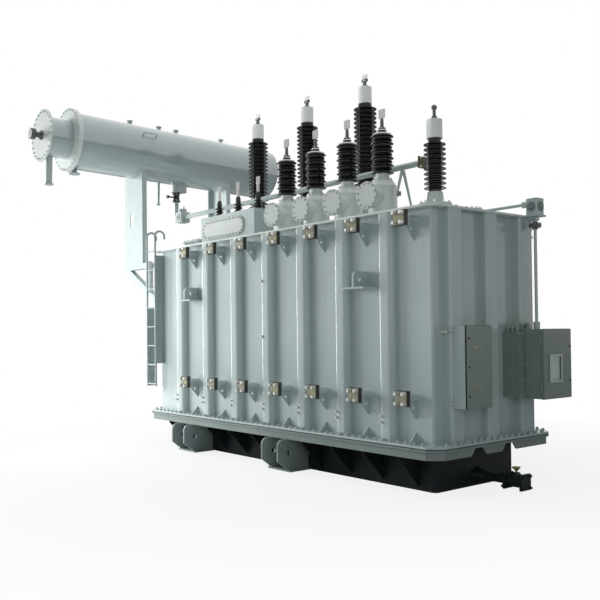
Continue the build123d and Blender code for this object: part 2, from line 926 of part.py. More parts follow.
# Drive shafts: upright from the drive cabinet, then level to the tap-changer head
drive_top = flange_level + drive_low + drive_height
shaft_z = shelf_top + shaft_level
with BuildPart() as drive_shafts:
    with Locations((shaft_x, drive_place, drive_top)):
        Cylinder(shaft_size / 2, shelf_top - drive_top, align=(Align.CENTER, Align.CENTER, Align.MIN))
        Cylinder(coupling_size / 2, coupling_length, align=(Align.CENTER, Align.CENTER, Align.MIN))
    level_shaft_start = tap_x + tap_head / 2
    level_shaft_length = shaft_x - gear_box_size / 2 - level_shaft_start
    with BuildSketch(Plane.YZ.offset(level_shaft_start)):
        with Locations((drive_place, shaft_z)):
            Circle(shaft_size / 2)
    extrude(amount=level_shaft_length)
    with BuildSketch(Plane.YZ.offset(level_shaft_start + level_shaft_length - coupling_length)):
        with Locations((drive_place, shaft_z)):
            Circle(coupling_size / 2)
    extrude(amount=coupling_length)
write(drive_shafts.part, "drive_shafts")


def cabinet_shell(depth, width, height, place, low, hinge_side):
    """A sheet-steel cabinet open to the front, with its half of the two hinges and their pins."""
    front = cabinet_back + depth
    axis_x = front + door_gap / 2
    axis_y = place + hinge_side * (width / 2 + hinge_standoff + hinge_knuckle / 2)
    leaf_y = place + hinge_side * (width / 2 + hinge_leaf / 2)
    with BuildPart() as shell:
        with Locations((cabinet_back, place, low)):
            Box(depth, width, height, align=(Align.MIN, Align.CENTER, Align.MIN))
        with Locations((cabinet_back + cabinet_sheet, place, low + cabinet_sheet)):
            Box(
                depth,
                width - 2 * cabinet_sheet,
                height - 2 * cabinet_sheet,
                align=(Align.MIN, Align.CENTER, Align.MIN),
                mode=Mode.SUBTRACT,
            )
        for middle in (low + hinge_inset, low + height - hinge_inset):
            for step in (-hinge_segment, hinge_segment):
                with Locations((axis_x, axis_y, middle + step)):
                    Cylinder(hinge_knuckle / 2, hinge_segment)
                with Locations((axis_x - hinge_leaf_length / 2, leaf_y, middle + step)):
                    Box(hinge_leaf_length, hinge_leaf, hinge_segment)
            with Locations((axis_x, axis_y, middle)):
                Cylinder(hinge_pin / 2, 2 * hinge_segment)
    return shell.part


def cabinet_door(depth, width, height, place, low, hinge_side):
    """A pan-shaped door with its knuckles on the hinge pins."""
    back = cabinet_back + depth + door_gap
    axis_x = back - door_gap / 2
    axis_y = place + hinge_side * (width / 2 + hinge_standoff + hinge_knuckle / 2)
    leaf_y = place + hinge_side * (width / 2 + hinge_leaf / 2)
    leaf_length = axis_x + hinge_leaf_length - back
    knuckle_height = hinge_segment - 2 * hinge_play
    with BuildPart() as door:
        with Locations((back, place, low)):
            Box(door_depth, width, height, align=(Align.MIN, Align.CENTER, Align.MIN))
        with Locations((back, place, low + door_sheet)):
            Box(
                door_depth - door_sheet,
                width - 2 * door_sheet,
                height - 2 * door_sheet,
                align=(Align.MIN, Align.CENTER, Align.MIN),
                mode=Mode.SUBTRACT,
            )
        for middle in (low + hinge_inset, low + height - hinge_inset):
            with Locations((axis_x, axis_y, middle)):
                Cylinder(hinge_knuckle / 2, knuckle_height)
            with Locations((back, leaf_y, middle)):
                Box(leaf_length, hinge_leaf, knuckle_height, align=(Align.MIN, Align.CENTER, Align.CENTER))
            with Locations((axis_x, axis_y, middle)):
                Cylinder(hinge_pin / 2 + hinge_play, knuckle_height, mode=Mode.SUBTRACT)
    return door.part


# Drive cabinet: the tap-changer motor drive hangs on the end rib
drive_bottom = flange_level + drive_low
drive_shell = cabinet_shell(drive_depth, drive_width, drive_height, drive_place, drive_bottom, -1)
write(drive_shell, "drive_cabinet")

# Drive door with a framed window
window_y = drive_place - drive_width / 2 + window_from_hinge
window_z = drive_bottom + drive_height - window_from_top
drive_door_front = cabinet_back + drive_depth + door_gap + door_depth
drive_door_pan = cabinet_door(drive_depth, drive_width, drive_height, drive_place, drive_bottom, -1)
with BuildPart() as drive_door:
    add(drive_door_pan)
    with BuildSketch(Plane.YZ.offset(drive_door_front)):
        with Locations((window_y, window_z)):
            Rectangle(window_width + 2 * window_frame, window_height + 2 * window_frame)
    extrude(amount=window_proud)
    with BuildSketch(Plane.YZ.offset(drive_door_front + window_proud)):
        with Locations((window_y, window_z)):
            Rectangle(window_width, window_height)
    extrude(amount=-(window_proud + door_depth), mode=Mode.SUBTRACT)
write(drive_door.part, "drive_door")

# Window pane of the drive door
with BuildPart() as drive_window:
    with BuildSketch(Plane.YZ.offset(drive_door_front - door_sheet)):
        with Locations((window_y, window_z)):
            Rectangle(window_width, window_height)
    extrude(amount=window_glass)
write(drive_window.part, "drive_window")

# Control cabinet
control_bottom = flange_level + control_low
control_shell = cabinet_shell(
    control_depth, control_width, control_height, control_place, control_bottom, 1
)
write(control_shell, "control_cabinet")

# Control cabinet door
control_pan = cabinet_door(
    control_depth, control_width, control_height, control_place, control_bottom, 1
)
write(control_pan, "control_door")

# Cable box: a narrow box on the end wall beside the drive cabinet, with a screwed lid
cable_box_y = drive_place - drive_width / 2 - cable_box_gap - cable_box_width / 2
cable_box_bottom = flange_level + cable_box_low
with BuildPart() as cable_box:
    with Locations((near_end, cable_box_y, cable_box_bottom)):
        Box(
            cable_box_depth - cable_lid_plate,
            cable_box_width - 2 * cable_lid_margin,
            cable_box_height - 2 * cable_lid_margin,
            align=(Align.MIN, Align.CENTER, Align.MIN),
        )
    cable_lid_back = near_end + cable_box_depth - cable_lid_plate
    with Locations((cable_lid_back, cable_box_y, cable_box_bottom - cable_lid_margin)):
        Box(cable_lid_plate, cable_box_width, cable_box_height, align=(Align.MIN, Align.CENTER, Align.MIN))
write(cable_box.part, "cable_box")

# Conservator shell: a rolled tank lying across the far end
conservator_x = far_end - conservator_offset
conservator_z = cover_top + conservator_rise
conservator_start = wall_front - conservator_front
conservator_finish = conservator_start + conservator_length


def inclined(piece):
    """Tips a piece of the conservator so that its front end is raised."""
    return piece.rotate(Axis((conservator_x, 0, conservator_z), (1, 0, 0)), -conservator_tilt)


with BuildPart() as conservator_shell:
    with BuildSketch(Plane.XZ.offset(-conservator_start)):
        with Locations((conservator_x, conservator_z)):
            Circle(conservator_size / 2)
            Circle(conservator_size / 2 - conservator_wall, mode=Mode.SUBTRACT)
    extrude(amount=-conservator_length)
write(inclined(conservator_shell.part), "conservator_shell")

# Conservator front end: a bolted ring that closes the shell round the neck
ring_face = conservator_start - end_ring_plate
with BuildPart() as conservator_front_end:
    with BuildSketch(Plane.XZ.offset(-conservator_start)):
        with Locations((conservator_x, conservator_z)):
            Circle(end_ring_size / 2)
            Circle(neck_size / 2 - neck_wall, mode=Mode.SUBTRACT)
    extrude(amount=end_ring_plate)
write(inclined(conservator_front_end.part), "conservator_front_end")

# Conservator neck: a short pipe on the ring
with BuildPart() as conservator_neck:
    with BuildSketch(Plane.XZ.offset(-ring_face)):
        with Locations((conservator_x, conservator_z)):
            Circle(neck_size / 2)
            Circle(neck_size / 2 - neck_wall, mode=Mode.SUBTRACT)
    extrude(amount=neck_length)
write(inclined(conservator_neck.part), "conservator_neck")

# End disc: the bolted cover on the neck
disc_back = ring_face - neck_length
with BuildPart() as conservator_disc:
    with BuildSketch(Plane.XZ.offset(-disc_back)):
        with Locations((conservator_x, conservator_z)):
            Circle(disc_size / 2)
    extrude(amount=disc_plate)
write(inclined(conservator_disc.part), "conservator_disc")

# Oil level gauge on the disc: a flanged neck with a round dial head
gauge_form = turned([
    (0, 0),
    (gauge_flange / 2, 0),
    (gauge_flange / 2, gauge_flange_plate),
    (gauge_neck / 2, gauge_flange_plate),
    (gauge_neck / 2, gauge_depth - gauge_head),
    (gauge_size / 2, gauge_depth - gauge_head),
    (gauge_size / 2, gauge_depth),
    (0, gauge_depth),
])
with BuildPart() as level_gauge:
    with Locations(Location((conservator_x, disc_back - disc_plate, conservator_z), (90, 0, 0))):
        add(gauge_form)
write(inclined(level_gauge.part), "level_gauge")

# Conservator rear end: a shallow dished head
with BuildPart() as conservator_rear_end:
    with BuildSketch(Plane.YZ.offset(conservator_x)):
        with BuildLine():
            Polyline(
                (conservator_finish + rear_head_depth, conservator_z),
                (conservator_finish, conservator_z),
                (conservator_finish, conservator_z + conservator_size / 2),
            )
            RadiusArc(
                (conservator_finish, conservator_z + conservator_size / 2),
                (conservator_finish + rear_head_depth, conservator_z),
                (conservator_size ** 2 / 4 + rear_head_depth ** 2) / (2 * rear_head_depth),
            )
        make_face()
    revolve(axis=Axis((conservator_x, 0, conservator_z), (0, 1, 0)))
write(inclined(conservator_rear_end.part), "conservator_rear_end")

# Wall brackets: triangular frames on the far end wall, with an upright stay
bracket_top = flange_level + bracket_level
bracket_y = wall_rear - post_inset - post_depth / 2
stay_share = bracket_stay / bracket_reach
stay_length = bracket_drop - 1.5 * bracket_bar - stay_share * (bracket_drop - bracket_bar)
with BuildPart() as wall_brackets:
    with BuildSketch(Plane.XZ.offset(bracket_y)) as bracket_frame:
        with BuildLine():
            Polyline(
                (far_end, bracket_top),
                (far_end - bracket_reach, bracket_top),
                (far_end - bracket_reach, bracket_top - bracket_bar),
                (far_end, bracket_top - bracket_drop),
                close=True,
            )
        make_face()
        offset(amount=-bracket_bar, kind=Kind.INTERSECTION, mode=Mode.SUBTRACT)
        with Locations((far_end - bracket_stay, bracket_top - bracket_bar)):
            Rectangle(bracket_stay_bar, stay_length, align=(Align.CENTER, Align.MAX))
    extrude(amount=post_depth / 2, both=True)
    mirror(about=Plane.XZ)
write(wall_brackets.part, "wall_brackets")

# Conservator posts: wide channels with a slot, hollowed at the top to take the shell
shell_radius = conservator_size / 2
with BuildPart() as saddle_form:
    with BuildSketch(Plane.XZ.offset(-conservator_start)):
        with Locations((conservator_x, conservator_z)):
            Circle(shell_radius + saddle_clearance)
    extrude(amount=-conservator_length)
saddle_cut = inclined(saddle_form.part)
with BuildPart() as conservator_posts:
    with BuildSketch(Plane.XY.offset(bracket_top)):
        with Locations((conservator_x, -bracket_y - post_depth / 2)):
            Rectangle(post_width, post_depth, align=(Align.CENTER, Align.MIN))
        with Locations((conservator_x, -bracket_y - post_depth / 2 + post_sheet)):
            Rectangle(
                post_width - 2 * post_sheet,
                post_depth - post_sheet,
                align=(Align.CENTER, Align.MIN),
                mode=Mode.SUBTRACT,
            )
    extrude(amount=conservator_z - bracket_top)
    with BuildSketch(Plane.XZ.offset(bracket_y + post_depth)):
        with Locations((conservator_x + post_slot_shift, conservator_z - post_slot_drop)):
            RectangleRounded(post_slot_width, post_slot_height, post_slot_round)
    extrude(amount=-2 * post_depth, mode=Mode.SUBTRACT)
    mirror(about=Plane.XZ)
    add(saddle_cut, mode=Mode.SUBTRACT)
write(conservator_posts.part, "conservator_posts")

# Conservator fittings: plugs on top; oil sump, drain stub, filling pipe and neck drain below
sump_bottom = conservator_z - shell_radius - sump_drop
neck_drain_y = ring_face - neck_drain_from_ring
stub_drain_y = conservator_start + stub_drain_from_front
filling_y = conservator_start + filling_from_front
hanging = [
    (stub_drain, shell_radius + stub_drain_drop, stub_drain_y),
    (filling_pipe, shell_radius + filling_drop, filling_y),
    (neck_drain, neck_size / 2 + neck_drain_drop, neck_drain_y),
]
foot_flanges = [
    (stub_drain_flange, shell_radius + stub_drain_drop, stub_drain_y),
    (filling_flange, shell_radius + filling_drop, filling_y),
    (neck_drain_flange, neck_size / 2 + neck_drain_drop, neck_drain_y),
]
with BuildPart() as fitting_forms:
    with Locations(*[(conservator_x, conservator_start + y, conservator_z) for y in plug_from_front]):
        Cylinder(
            plug_size / 2, shell_radius + plug_height, align=(Align.CENTER, Align.CENTER, Align.MIN)
        )
    for size, drop, y in hanging:
        with Locations((conservator_x, y, conservator_z)):
            Cylinder(size / 2, drop, align=(Align.CENTER, Align.CENTER, Align.MAX))
    with BuildSketch(Plane.XZ.offset(-conservator_start)):
        with Locations((conservator_x, conservator_z)):
            Circle(shell_radius + saddle_clearance)
    extrude(amount=-conservator_length, mode=Mode.SUBTRACT)
    with BuildSketch(Plane.XZ.offset(-ring_face)):
        with Locations((conservator_x, conservator_z)):
            Circle(neck_size / 2 + saddle_clearance)
    extrude(amount=neck_length, mode=Mode.SUBTRACT)
    with Locations(*[
        (conservator_x, conservator_start + y, conservator_z + shell_radius + plug_height)
        for y in plug_from_front
    ]):
        Cylinder(plug_cap / 2, plug_cap_plate, align=(Align.CENTER, Align.CENTER, Align.MIN))
    for size, drop, y in foot_flanges:
        with Locations((conservator_x, y, conservator_z - drop)):
            Cylinder(size / 2, plug_cap_plate, align=(Align.CENTER, Align.CENTER, Align.MIN))
with BuildPart() as sump_form:
    with Locations((conservator_x, 0, conservator_z)):
        Cylinder(sump_size / 2, shell_radius + sump_drop, align=(Align.CENTER, Align.CENTER, Align.MAX))
    add(saddle_cut, mode=Mode.SUBTRACT)
with BuildPart() as conservator_fittings:
    add(inclined(fitting_forms.part))
    add(sump_form.part)
write(conservator_fittings.part, "conservator_fittings")

# Breather: a drying cartridge hung on the front bracket
breather_x = far_end - breather_from_end
breather_y = -bracket_y - post_depth / 2 - breather_standoff
breather_bottom = bracket_top - breather_length
breather_form = turned([
    (0, breather_bottom),
    (breather_cup / 2, breather_bottom),
    (breather_cup / 2, breather_bottom + breather_cup_height),
    (breather_glass / 2, breather_bottom + breather_cup_height),
    (breather_glass / 2, bracket_top - breather_cap_height),
    (breather_cap / 2, bracket_top - breather_cap_height),
    (breather_cap / 2, bracket_top - breather_cap_height / 3),
    (breather_neck / 2, bracket_top),
    (0, bracket_top),
])
with BuildPart() as breather:
    with Locations((breather_x, breather_y, 0)):
        add(breather_form)
    with Locations((breather_x, -bracket_y - post_depth / 2, bracket_top - breather_cap_height)):
        Box(
            breather_mount,
            breather_standoff,
            breather_cap_height / 2,
            align=(Align.CENTER, Align.MAX, Align.MIN),
        )
write(breather.part, "breather")

# Shut-off valve under the sump, with its hand knob to the front
down_x = conservator_x + down_shift
down_valve_bottom = sump_bottom - down_valve_height
down_valve_form = turned([
    (0, down_valve_bottom),
    (pipe_flange / 2, down_valve_bottom),
    (pipe_flange / 2, down_valve_bottom + pipe_flange_plate),
    (down_valve_body / 2, down_valve_bottom + pipe_flange_plate),
    (down_valve_body / 2, sump_bottom - pipe_flange_plate),
    (pipe_flange / 2, sump_bottom - pipe_flange_plate),
    (pipe_flange / 2, sump_bottom),
    (0, sump_bottom),
])
with BuildPart() as pipe_valve:
    with Locations((down_x, 0, 0)):
        add(down_valve_form)
    with BuildSketch(Plane.XZ):
        with Locations((down_x, sump_bottom - down_valve_height / 2)):
            Circle(down_valve_stem / 2)
    extrude(amount=down_valve_reach)
    with BuildSketch(Plane.XZ.offset(down_valve_reach)):
        with Locations((down_x, sump_bottom - down_valve_height / 2)):
            Circle(down_valve_knob / 2)
    extrude(amount=down_valve_stem)
write(pipe_valve.part, "pipe_valve")

# Main oil pipe: from the shut-off valve through the gas relay, then level above the cover
pipe_z = cover_top + pipe_level
pipe_top = down_valve_bottom
relay_x = conservator_x + relay_place
relay_start = relay_x - relay_length / 2
relay_finish = relay_x + relay_length / 2
pipe_finish = near_end - pipe_end_from_end
with BuildPart() as main_oil_pipe:
    with BuildLine() as pipe_route:
        FilletPolyline(
            (down_x, 0, pipe_top),
            (down_x, 0, pipe_z),
            (relay_start, 0, pipe_z),
            radius=pipe_bend,
        )
    with BuildSketch(Plane.XY.offset(pipe_top)):
        with Locations((down_x, 0)):
            Circle(pipe_size / 2)
    sweep(path=pipe_route.wires()[0])
    with BuildSketch(Plane.YZ.offset(relay_start)):
        with Locations((0, pipe_z)):
            Circle(pipe_flange / 2)
    extrude(amount=-pipe_flange_plate)
    with BuildSketch(Plane.YZ.offset(relay_finish)):
        with Locations((0, pipe_z)):
            Circle(pipe_flange / 2)
    extrude(amount=pipe_flange_plate)
    with BuildSketch(Plane.YZ.offset(relay_finish)):
        with Locations((0, pipe_z)):
            Circle(pipe_size / 2)
    extrude(amount=pipe_finish - relay_finish)
write(main_oil_pipe.part, "main_oil_pipe")

# Blind flange at the end of the main oil pipe
with BuildPart() as pipe_blind_flange:
    with BuildSketch(Plane.YZ.offset(pipe_finish)):
        with Locations((0, pipe_z)):
            Rectangle(pipe_flange, pipe_flange)
    extrude(amount=pipe_blank_plate)
write(pipe_blind_flange.part, "pipe_blind_flange")

# Gas relay
with BuildPart() as gas_relay:
    with Locations((relay_x, 0, pipe_z)):
        Box(relay_length, relay_body, relay_body)
    with Locations((relay_x, 0, pipe_z + relay_body / 2)):
        Cylinder(relay_lid / 2, relay_lid_height, align=(Align.CENTER, Align.CENTER, Align.MIN))
write(gas_relay.part, "gas_relay")

# Pipe supports: bent-bar trestles on the cover
support_top = pipe_z - pipe_size / 2 - saddle_clearance
support_places = [near_end - from_end for from_end in support_from_end]
with BuildPart() as pipe_supports:
    with BuildSketch(*[Plane.YZ.offset(x) for x in support_places]):
        with BuildLine():
            Polyline(
                (-support_spread / 2 - support_bar, cover_top),
                (-support_saddle / 2, support_top),
                (support_saddle / 2, support_top),
                (support_spread / 2 + support_bar, cover_top),
                (support_spread / 2, cover_top),
                (0, support_top - 2 * support_bar),
                (-support_spread / 2, cover_top),
                close=True,
            )
        make_face()
    extrude(amount=support_bar / 2, both=True)
write(pipe_supports.part, "pipe_supports")

# Ladder at the far corner: hooked rails, a side plate on the wall and a guard plate at its foot
ladder_y = breather_y - breather_cap / 2 - ladder_clearance - ladder_rail / 2
ladder_front = wall_front - ladder_y
ladder_right = far_end + ladder_inset
ladder_left = ladder_right - ladder_width
ladder_bottom = flange_level + ladder_low
ladder_top = flange_level + ladder_high
hook_end_y = ladder_y + 2 * ladder_hook
rung_span = ladder_top - ladder_hook - ladder_bottom - ladder_rung_first
rung_count = int(rung_span // ladder_rung_pitch) + 1
with BuildPart() as ladder:
    for rail in (ladder_left, ladder_right):
        with BuildLine() as rail_line:
            FilletPolyline(
                (rail, ladder_y, ladder_bottom),
                (rail, ladder_y, ladder_top),
                (rail, hook_end_y, ladder_top),
                (rail, hook_end_y, ladder_top - ladder_hook - ladder_hook_end),
                radius=0.98 * ladder_hook,
            )
        with BuildSketch(Plane.XY.offset(ladder_bottom)):
            with Locations((rail, ladder_y)):
                Circle(ladder_rail / 2)
        sweep(path=rail_line.wires()[0])
    with BuildSketch(Plane.YZ.offset(ladder_left)):
        with Locations(*[
            (ladder_y, ladder_bottom + ladder_rung_first + k * ladder_rung_pitch)
            for k in range(rung_count)
        ]):
            Circle(ladder_rung / 2)
    extrude(amount=ladder_width)
    side_plate_bottom = ladder_bottom + ladder_side_foot
    with Locations((ladder_right, ladder_y, side_plate_bottom)):
        Box(
            ladder_side_plate,
            ladder_front,
            cover_level - ladder_side_head - side_plate_bottom,
            align=(Align.CENTER, Align.MIN, Align.MIN),
        )
    with Locations((ladder_left, ladder_y, ladder_bottom)):
        Box(
            ladder_side_plate,
            ladder_front,
            ladder_guard_head,
            align=(Align.CENTER, Align.MIN, Align.MIN),
        )
write(ladder.part, "ladder")

# Drain pipe out of the trough's end, with a flared mouth
trough_end = near_end - trough_end_setback
drain_form = turned([
    (0, 0),
    (drain_mouth / 2, 0),
    (drain_pipe / 2, drain_mouth_length),
    (drain_pipe / 2, drain_length),
    (0, drain_length),
])
with BuildPart() as drain_line:
    with Locations(Location((trough_end, 0, drain_level), (0, 90, 0))):
        add(drain_form)
write(drain_line.part, "drain_pipe")

# Drain valve: a round body between square flanges, with its bonnet
valve_start = trough_end + drain_length
valve_middle = valve_start + drain_valve_length / 2
bonnet_top = drain_level + drain_bonnet_rise
drain_bonnet_form = turned([
    (0, drain_level),
    (drain_bonnet / 2, drain_level),
    (drain_bonnet / 2, bonnet_top - drain_bonnet_slope),
    (drain_bonnet / 2 - drain_bonnet_slope, bonnet_top),
    (0, bonnet_top),
])
with BuildPart() as drain_valve:
    with BuildSketch(Plane.YZ.offset(valve_start)):
        with Locations((0, drain_level)):
            Circle(drain_valve_body / 2)
    extrude(amount=drain_valve_length)
    for flange_start in (valve_start, valve_start + drain_valve_length - drain_flange_plate):
        with BuildSketch(Plane.YZ.offset(flange_start)):
            with Locations((0, drain_level)):
                Rectangle(drain_flange, drain_flange)
        extrude(amount=drain_flange_plate)
    with Locations((valve_middle, 0, 0)):
        add(drain_bonnet_form)
write(drain_valve.part, "drain_valve")

# Hand knob of the drain valve: a stem that opens into an upturned cone
knob_low = bonnet_top + drain_stem_rise
with BuildPart() as drain_handle:
    with Locations((valve_middle, 0, 0)):
        add(turned([
            (0, bonnet_top),
            (drain_stem / 2, bonnet_top),
            (drain_stem / 2, knob_low),
            (drain_knob / 2, knob_low + drain_knob_rise),
            (drain_knob / 2, knob_low + drain_knob_rise + drain_knob_lip),
            (0, knob_low + drain_knob_rise + drain_knob_lip),
        ]))
write(drain_handle.part, "drain_handle")
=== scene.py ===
import math

import bmesh
import bpy
from mathutils import Matrix, Vector


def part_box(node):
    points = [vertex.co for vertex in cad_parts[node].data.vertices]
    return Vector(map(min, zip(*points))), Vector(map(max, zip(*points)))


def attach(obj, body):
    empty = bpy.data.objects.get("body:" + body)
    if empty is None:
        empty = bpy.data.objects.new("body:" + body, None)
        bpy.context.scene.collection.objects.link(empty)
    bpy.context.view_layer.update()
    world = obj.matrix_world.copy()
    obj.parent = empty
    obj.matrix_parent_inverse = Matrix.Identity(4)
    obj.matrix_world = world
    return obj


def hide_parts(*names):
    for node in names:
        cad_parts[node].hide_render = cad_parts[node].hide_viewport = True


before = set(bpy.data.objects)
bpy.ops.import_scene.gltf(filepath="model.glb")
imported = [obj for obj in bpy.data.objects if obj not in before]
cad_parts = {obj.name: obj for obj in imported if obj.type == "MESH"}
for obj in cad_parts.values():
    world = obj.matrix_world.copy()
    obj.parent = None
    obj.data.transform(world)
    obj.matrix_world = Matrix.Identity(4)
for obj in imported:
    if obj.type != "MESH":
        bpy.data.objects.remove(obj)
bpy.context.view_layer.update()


# Base trough and its webs: the lower tank, welded from steel plate and sprayed near black.
# The webs are flame-cut plates, welded between the trough's wall and the base flange.
def noise(tree, scale, detail=3.0, stretch=(1.0, 1.0, 1.0)):
    """A noise pattern on the piece's own coordinates, stretched along its axes."""
    place = tree.nodes.new("ShaderNodeTexCoord")
    fit = tree.nodes.new("ShaderNodeMapping")
    fit.inputs["Scale"].default_value = stretch
    pattern = tree.nodes.new("ShaderNodeTexNoise")
    pattern.inputs["Scale"].default_value = scale
    pattern.inputs["Detail"].default_value = detail
    tree.links.new(place.outputs["Object"], fit.inputs["Vector"])
    tree.links.new(fit.outputs["Vector"], pattern.inputs["Vector"])
    return pattern.outputs["Fac"]


def between(tree, pattern, low, high, start, finish):
    """Takes a pattern's values from low..high to start..finish."""
    span = tree.nodes.new("ShaderNodeMapRange")
    for name, value in (("From Min", low), ("From Max", high), ("To Min", start), ("To Max", finish)):
        span.inputs[name].default_value = value
    tree.links.new(pattern, span.inputs["Value"])
    return span.outputs["Result"]


def tinted(tree, share, first, second):
    """A colour that goes from the first to the second as the share rises."""
    mix = tree.nodes.new("ShaderNodeMix")
    mix.data_type = "RGBA"
    factor, side_a, side_b = mix.inputs[0], mix.inputs[6], mix.inputs[7]
    tree.links.new(share, factor)
    for socket, colour in ((side_a, first), (side_b, second)):
        if isinstance(colour, tuple):
            socket.default_value = (*colour, 1.0)
        else:
            tree.links.new(colour, socket)
    return mix.outputs[2]


def new_finish(name):
    """An empty node material with its tree and its shader."""
    finish = bpy.data.materials.new(name)
    finish.use_nodes = True
    return finish, finish.node_tree, finish.node_tree.nodes["Principled BSDF"]


def relief(tree, shader, pattern, depth, strength):
    """Raises a pattern on the surface by a depth in metres."""
    bump = tree.nodes.new("ShaderNodeBump")
    bump.inputs["Distance"].default_value = depth
    bump.inputs["Strength"].default_value = strength
    tree.links.new(pattern, bump.inputs["Height"])
    tree.links.new(bump.outputs["Normal"], shader.inputs["Normal"])


def sprayed_paint(name, colour, drifted, stained, rough, gloss=0.5):
    """Sprayed paint on steel: a slow drift of tone, faint runs down the sheet and a little orange peel."""
    finish, tree, shader = new_finish(name)
    shader.inputs["Specular IOR Level"].default_value = gloss
    drift = noise(tree, 0.9, 5.0)
    runs = noise(tree, 1.3, 4.0, stretch=(8.0, 8.0, 0.45))
    tone = tinted(tree, between(tree, drift, 0.35, 0.65, 0.0, 1.0), colour, drifted)
    tone = tinted(tree, between(tree, runs, 0.56, 0.80, 0.0, 0.55), tone, stained)
    tree.links.new(tone, shader.inputs["Base Color"])
    tree.links.new(between(tree, drift, 0.3, 0.7, 0.8 * rough, 1.35 * rough), shader.inputs["Roughness"])
    relief(tree, shader, noise(tree, 70.0, 2.0), 0.0006, 0.12)
    return finish


def coat(finish, *nodes):
    """Gives CAD nodes their finish."""
    for name in nodes:
        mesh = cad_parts[name].data
        mesh.materials.clear()
        mesh.materials.append(finish)


black_paint = sprayed_paint(
    "black_paint", (0.012, 0.016, 0.018), (0.008, 0.011, 0.013), (0.030, 0.032, 0.031), 0.42, gloss=0.18
)
coat(black_paint, "base_trough", "base_gussets")


# Cross-beams and their pads: pairs of flame-cut plates with a pulling hole, welded to the trough.
# They are brushed dark green-grey and rubbed pale where chains and jacks have touched them.
beam_paint = sprayed_paint(
    "beam_paint", (0.255, 0.305, 0.305), (0.190, 0.230, 0.226), (0.34, 0.35, 0.32), 0.40, gloss=0.3
)
coat(beam_paint, "cross_beams", "beam_pads")


# Drain pipe and valve: a steel pipe with a flared mouth and a cast valve between square flanges,
# in the trough's paint, held by hexagon bolts; its hand knob is dull brass.
def clouded(name, grain, first, second, smooth, rough, stretch=(1.0, 1.0, 1.0)):
    """A finish whose colour and roughness follow one fine cloud, and its shader."""
    finish, tree, shader = new_finish(name)
    cloud = noise(tree, grain, 4.0, stretch)
    tree.links.new(tinted(tree, cloud, first, second), shader.inputs["Base Color"])
    tree.links.new(between(tree, cloud, 0.3, 0.7, smooth, rough), shader.inputs["Roughness"])
    return finish, shader


def bolt(across, proud):
    """One hexagon head on its washer, standing on the XY plane and sunk a little into what carries it."""
    sunk = 0.002
    washer = 0.006
    one = bmesh.new()
    bmesh.ops.create_cone(
        one, cap_ends=True, segments=12, radius1=0.66 * across, radius2=0.66 * across,
        depth=washer + sunk, matrix=Matrix.Translation((0, 0, (washer - sunk) / 2)),
    )
    bmesh.ops.create_cone(
        one, cap_ends=True, segments=6, radius1=across / math.sqrt(3), radius2=across / math.sqrt(3),
        depth=proud - washer, matrix=Matrix.Translation((0, 0, (proud + washer) / 2)),
    )
    shape = bpy.data.meshes.new("bolt")
    one.to_mesh(shape)
    one.free()
    return shape


def repeated(shape, places):
    """A bmesh with the shape set at each place, a point and the way its Z axis points there."""
    many = bmesh.new()
    for point, way in places:
        held = len(many.verts)
        many.from_mesh(shape)
        many.verts.ensure_lookup_table()
        turn = Vector(way).to_track_quat("Z", "Y").to_matrix().to_4x4()
        bmesh.ops.transform(many, matrix=Matrix.Translation(point) @ turn, verts=many.verts[held:])
    return many


def finished(name, form, finish, body="transformer", smooth=False):
    """Turns a bmesh into a piece of the scene that rides on a body."""
    mesh = bpy.data.meshes.new(name)
    form.to_mesh(mesh)
    form.free()
    mesh.materials.append(finish)
    if smooth:
        mesh.shade_smooth()
        mesh.set_sharp_from_angle(angle=math.radians(38))
    piece = bpy.data.objects.new(name, mesh)
    bpy.context.scene.collection.objects.link(piece)
    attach(piece, body)
    return piece


coat(black_paint, "drain_pipe", "drain_valve")
brass, brass_shader = clouded("dull_brass", 40.0, (0.30, 0.25, 0.10), (0.44, 0.37, 0.17), 0.32, 0.5)
brass_shader.inputs["Metallic"].default_value = 0.8
coat(brass, "drain_handle")

front, left, right = Vector((0, -1, 0)), Vector((-1, 0, 0)), Vector((1, 0, 0))
up, down = Vector((0, 0, 1)), Vector((0, 0, -1))
drain_low, drain_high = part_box("drain_valve")
drain_level = drain_low.z + (drain_high.y - drain_low.y) / 2
drain_bolt_offset = 0.066
drain_plate = 0.032
drain_spots = [
    (Vector((x, sy * drain_bolt_offset, drain_level + sz * drain_bolt_offset)), way)
    for x, way in ((drain_high.x, right), (drain_low.x + drain_plate, right), (drain_low.x, left))
    for sy in (-1, 1) for sz in (-1, 1)
]
finished("drain_bolts", repeated(bolt(0.026, 0.026), drain_spots), black_paint)


# Base flange with its rim band: plate, welded to the trough and painted darker than the tank.
# A dark cord of rubber squeezes out of the joint between this flange and the bell's.
rim_paint = sprayed_paint(
    "rim_paint", (0.215, 0.255, 0.248), (0.180, 0.215, 0.210), (0.15, 0.17, 0.155), 0.34, gloss=0.3
)
coat(rim_paint, "base_flange")
rubber, rubber_tree, rubber_shader = new_finish("joint_rubber")
rubber_shader.inputs["Roughness"].default_value = 0.6
rubber_shader.inputs["Specular IOR Level"].default_value = 0.25
rubber_tree.links.new(
    tinted(rubber_tree, noise(rubber_tree, 30.0), (0.012, 0.013, 0.013), (0.030, 0.030, 0.029)),
    rubber_shader.inputs["Base Color"],
)
flange_low, flange_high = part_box("bell_flange")
flange_cut = 0.150
joint_proud = 0.002
joint_thick = 0.010


def flange_corners(grow):
    """The flange's cut-cornered outline, grown outwards, in order round the tank."""
    half_x, half_y = flange_high.x + grow, flange_high.y + grow
    cut = flange_cut + 0.6 * grow
    corner = [(half_x, half_y - cut), (half_x - cut, half_y)]
    turned_corner = [(-x, y) for x, y in reversed(corner)]
    return corner + turned_corner + [(-x, -y) for x, y in corner + turned_corner]


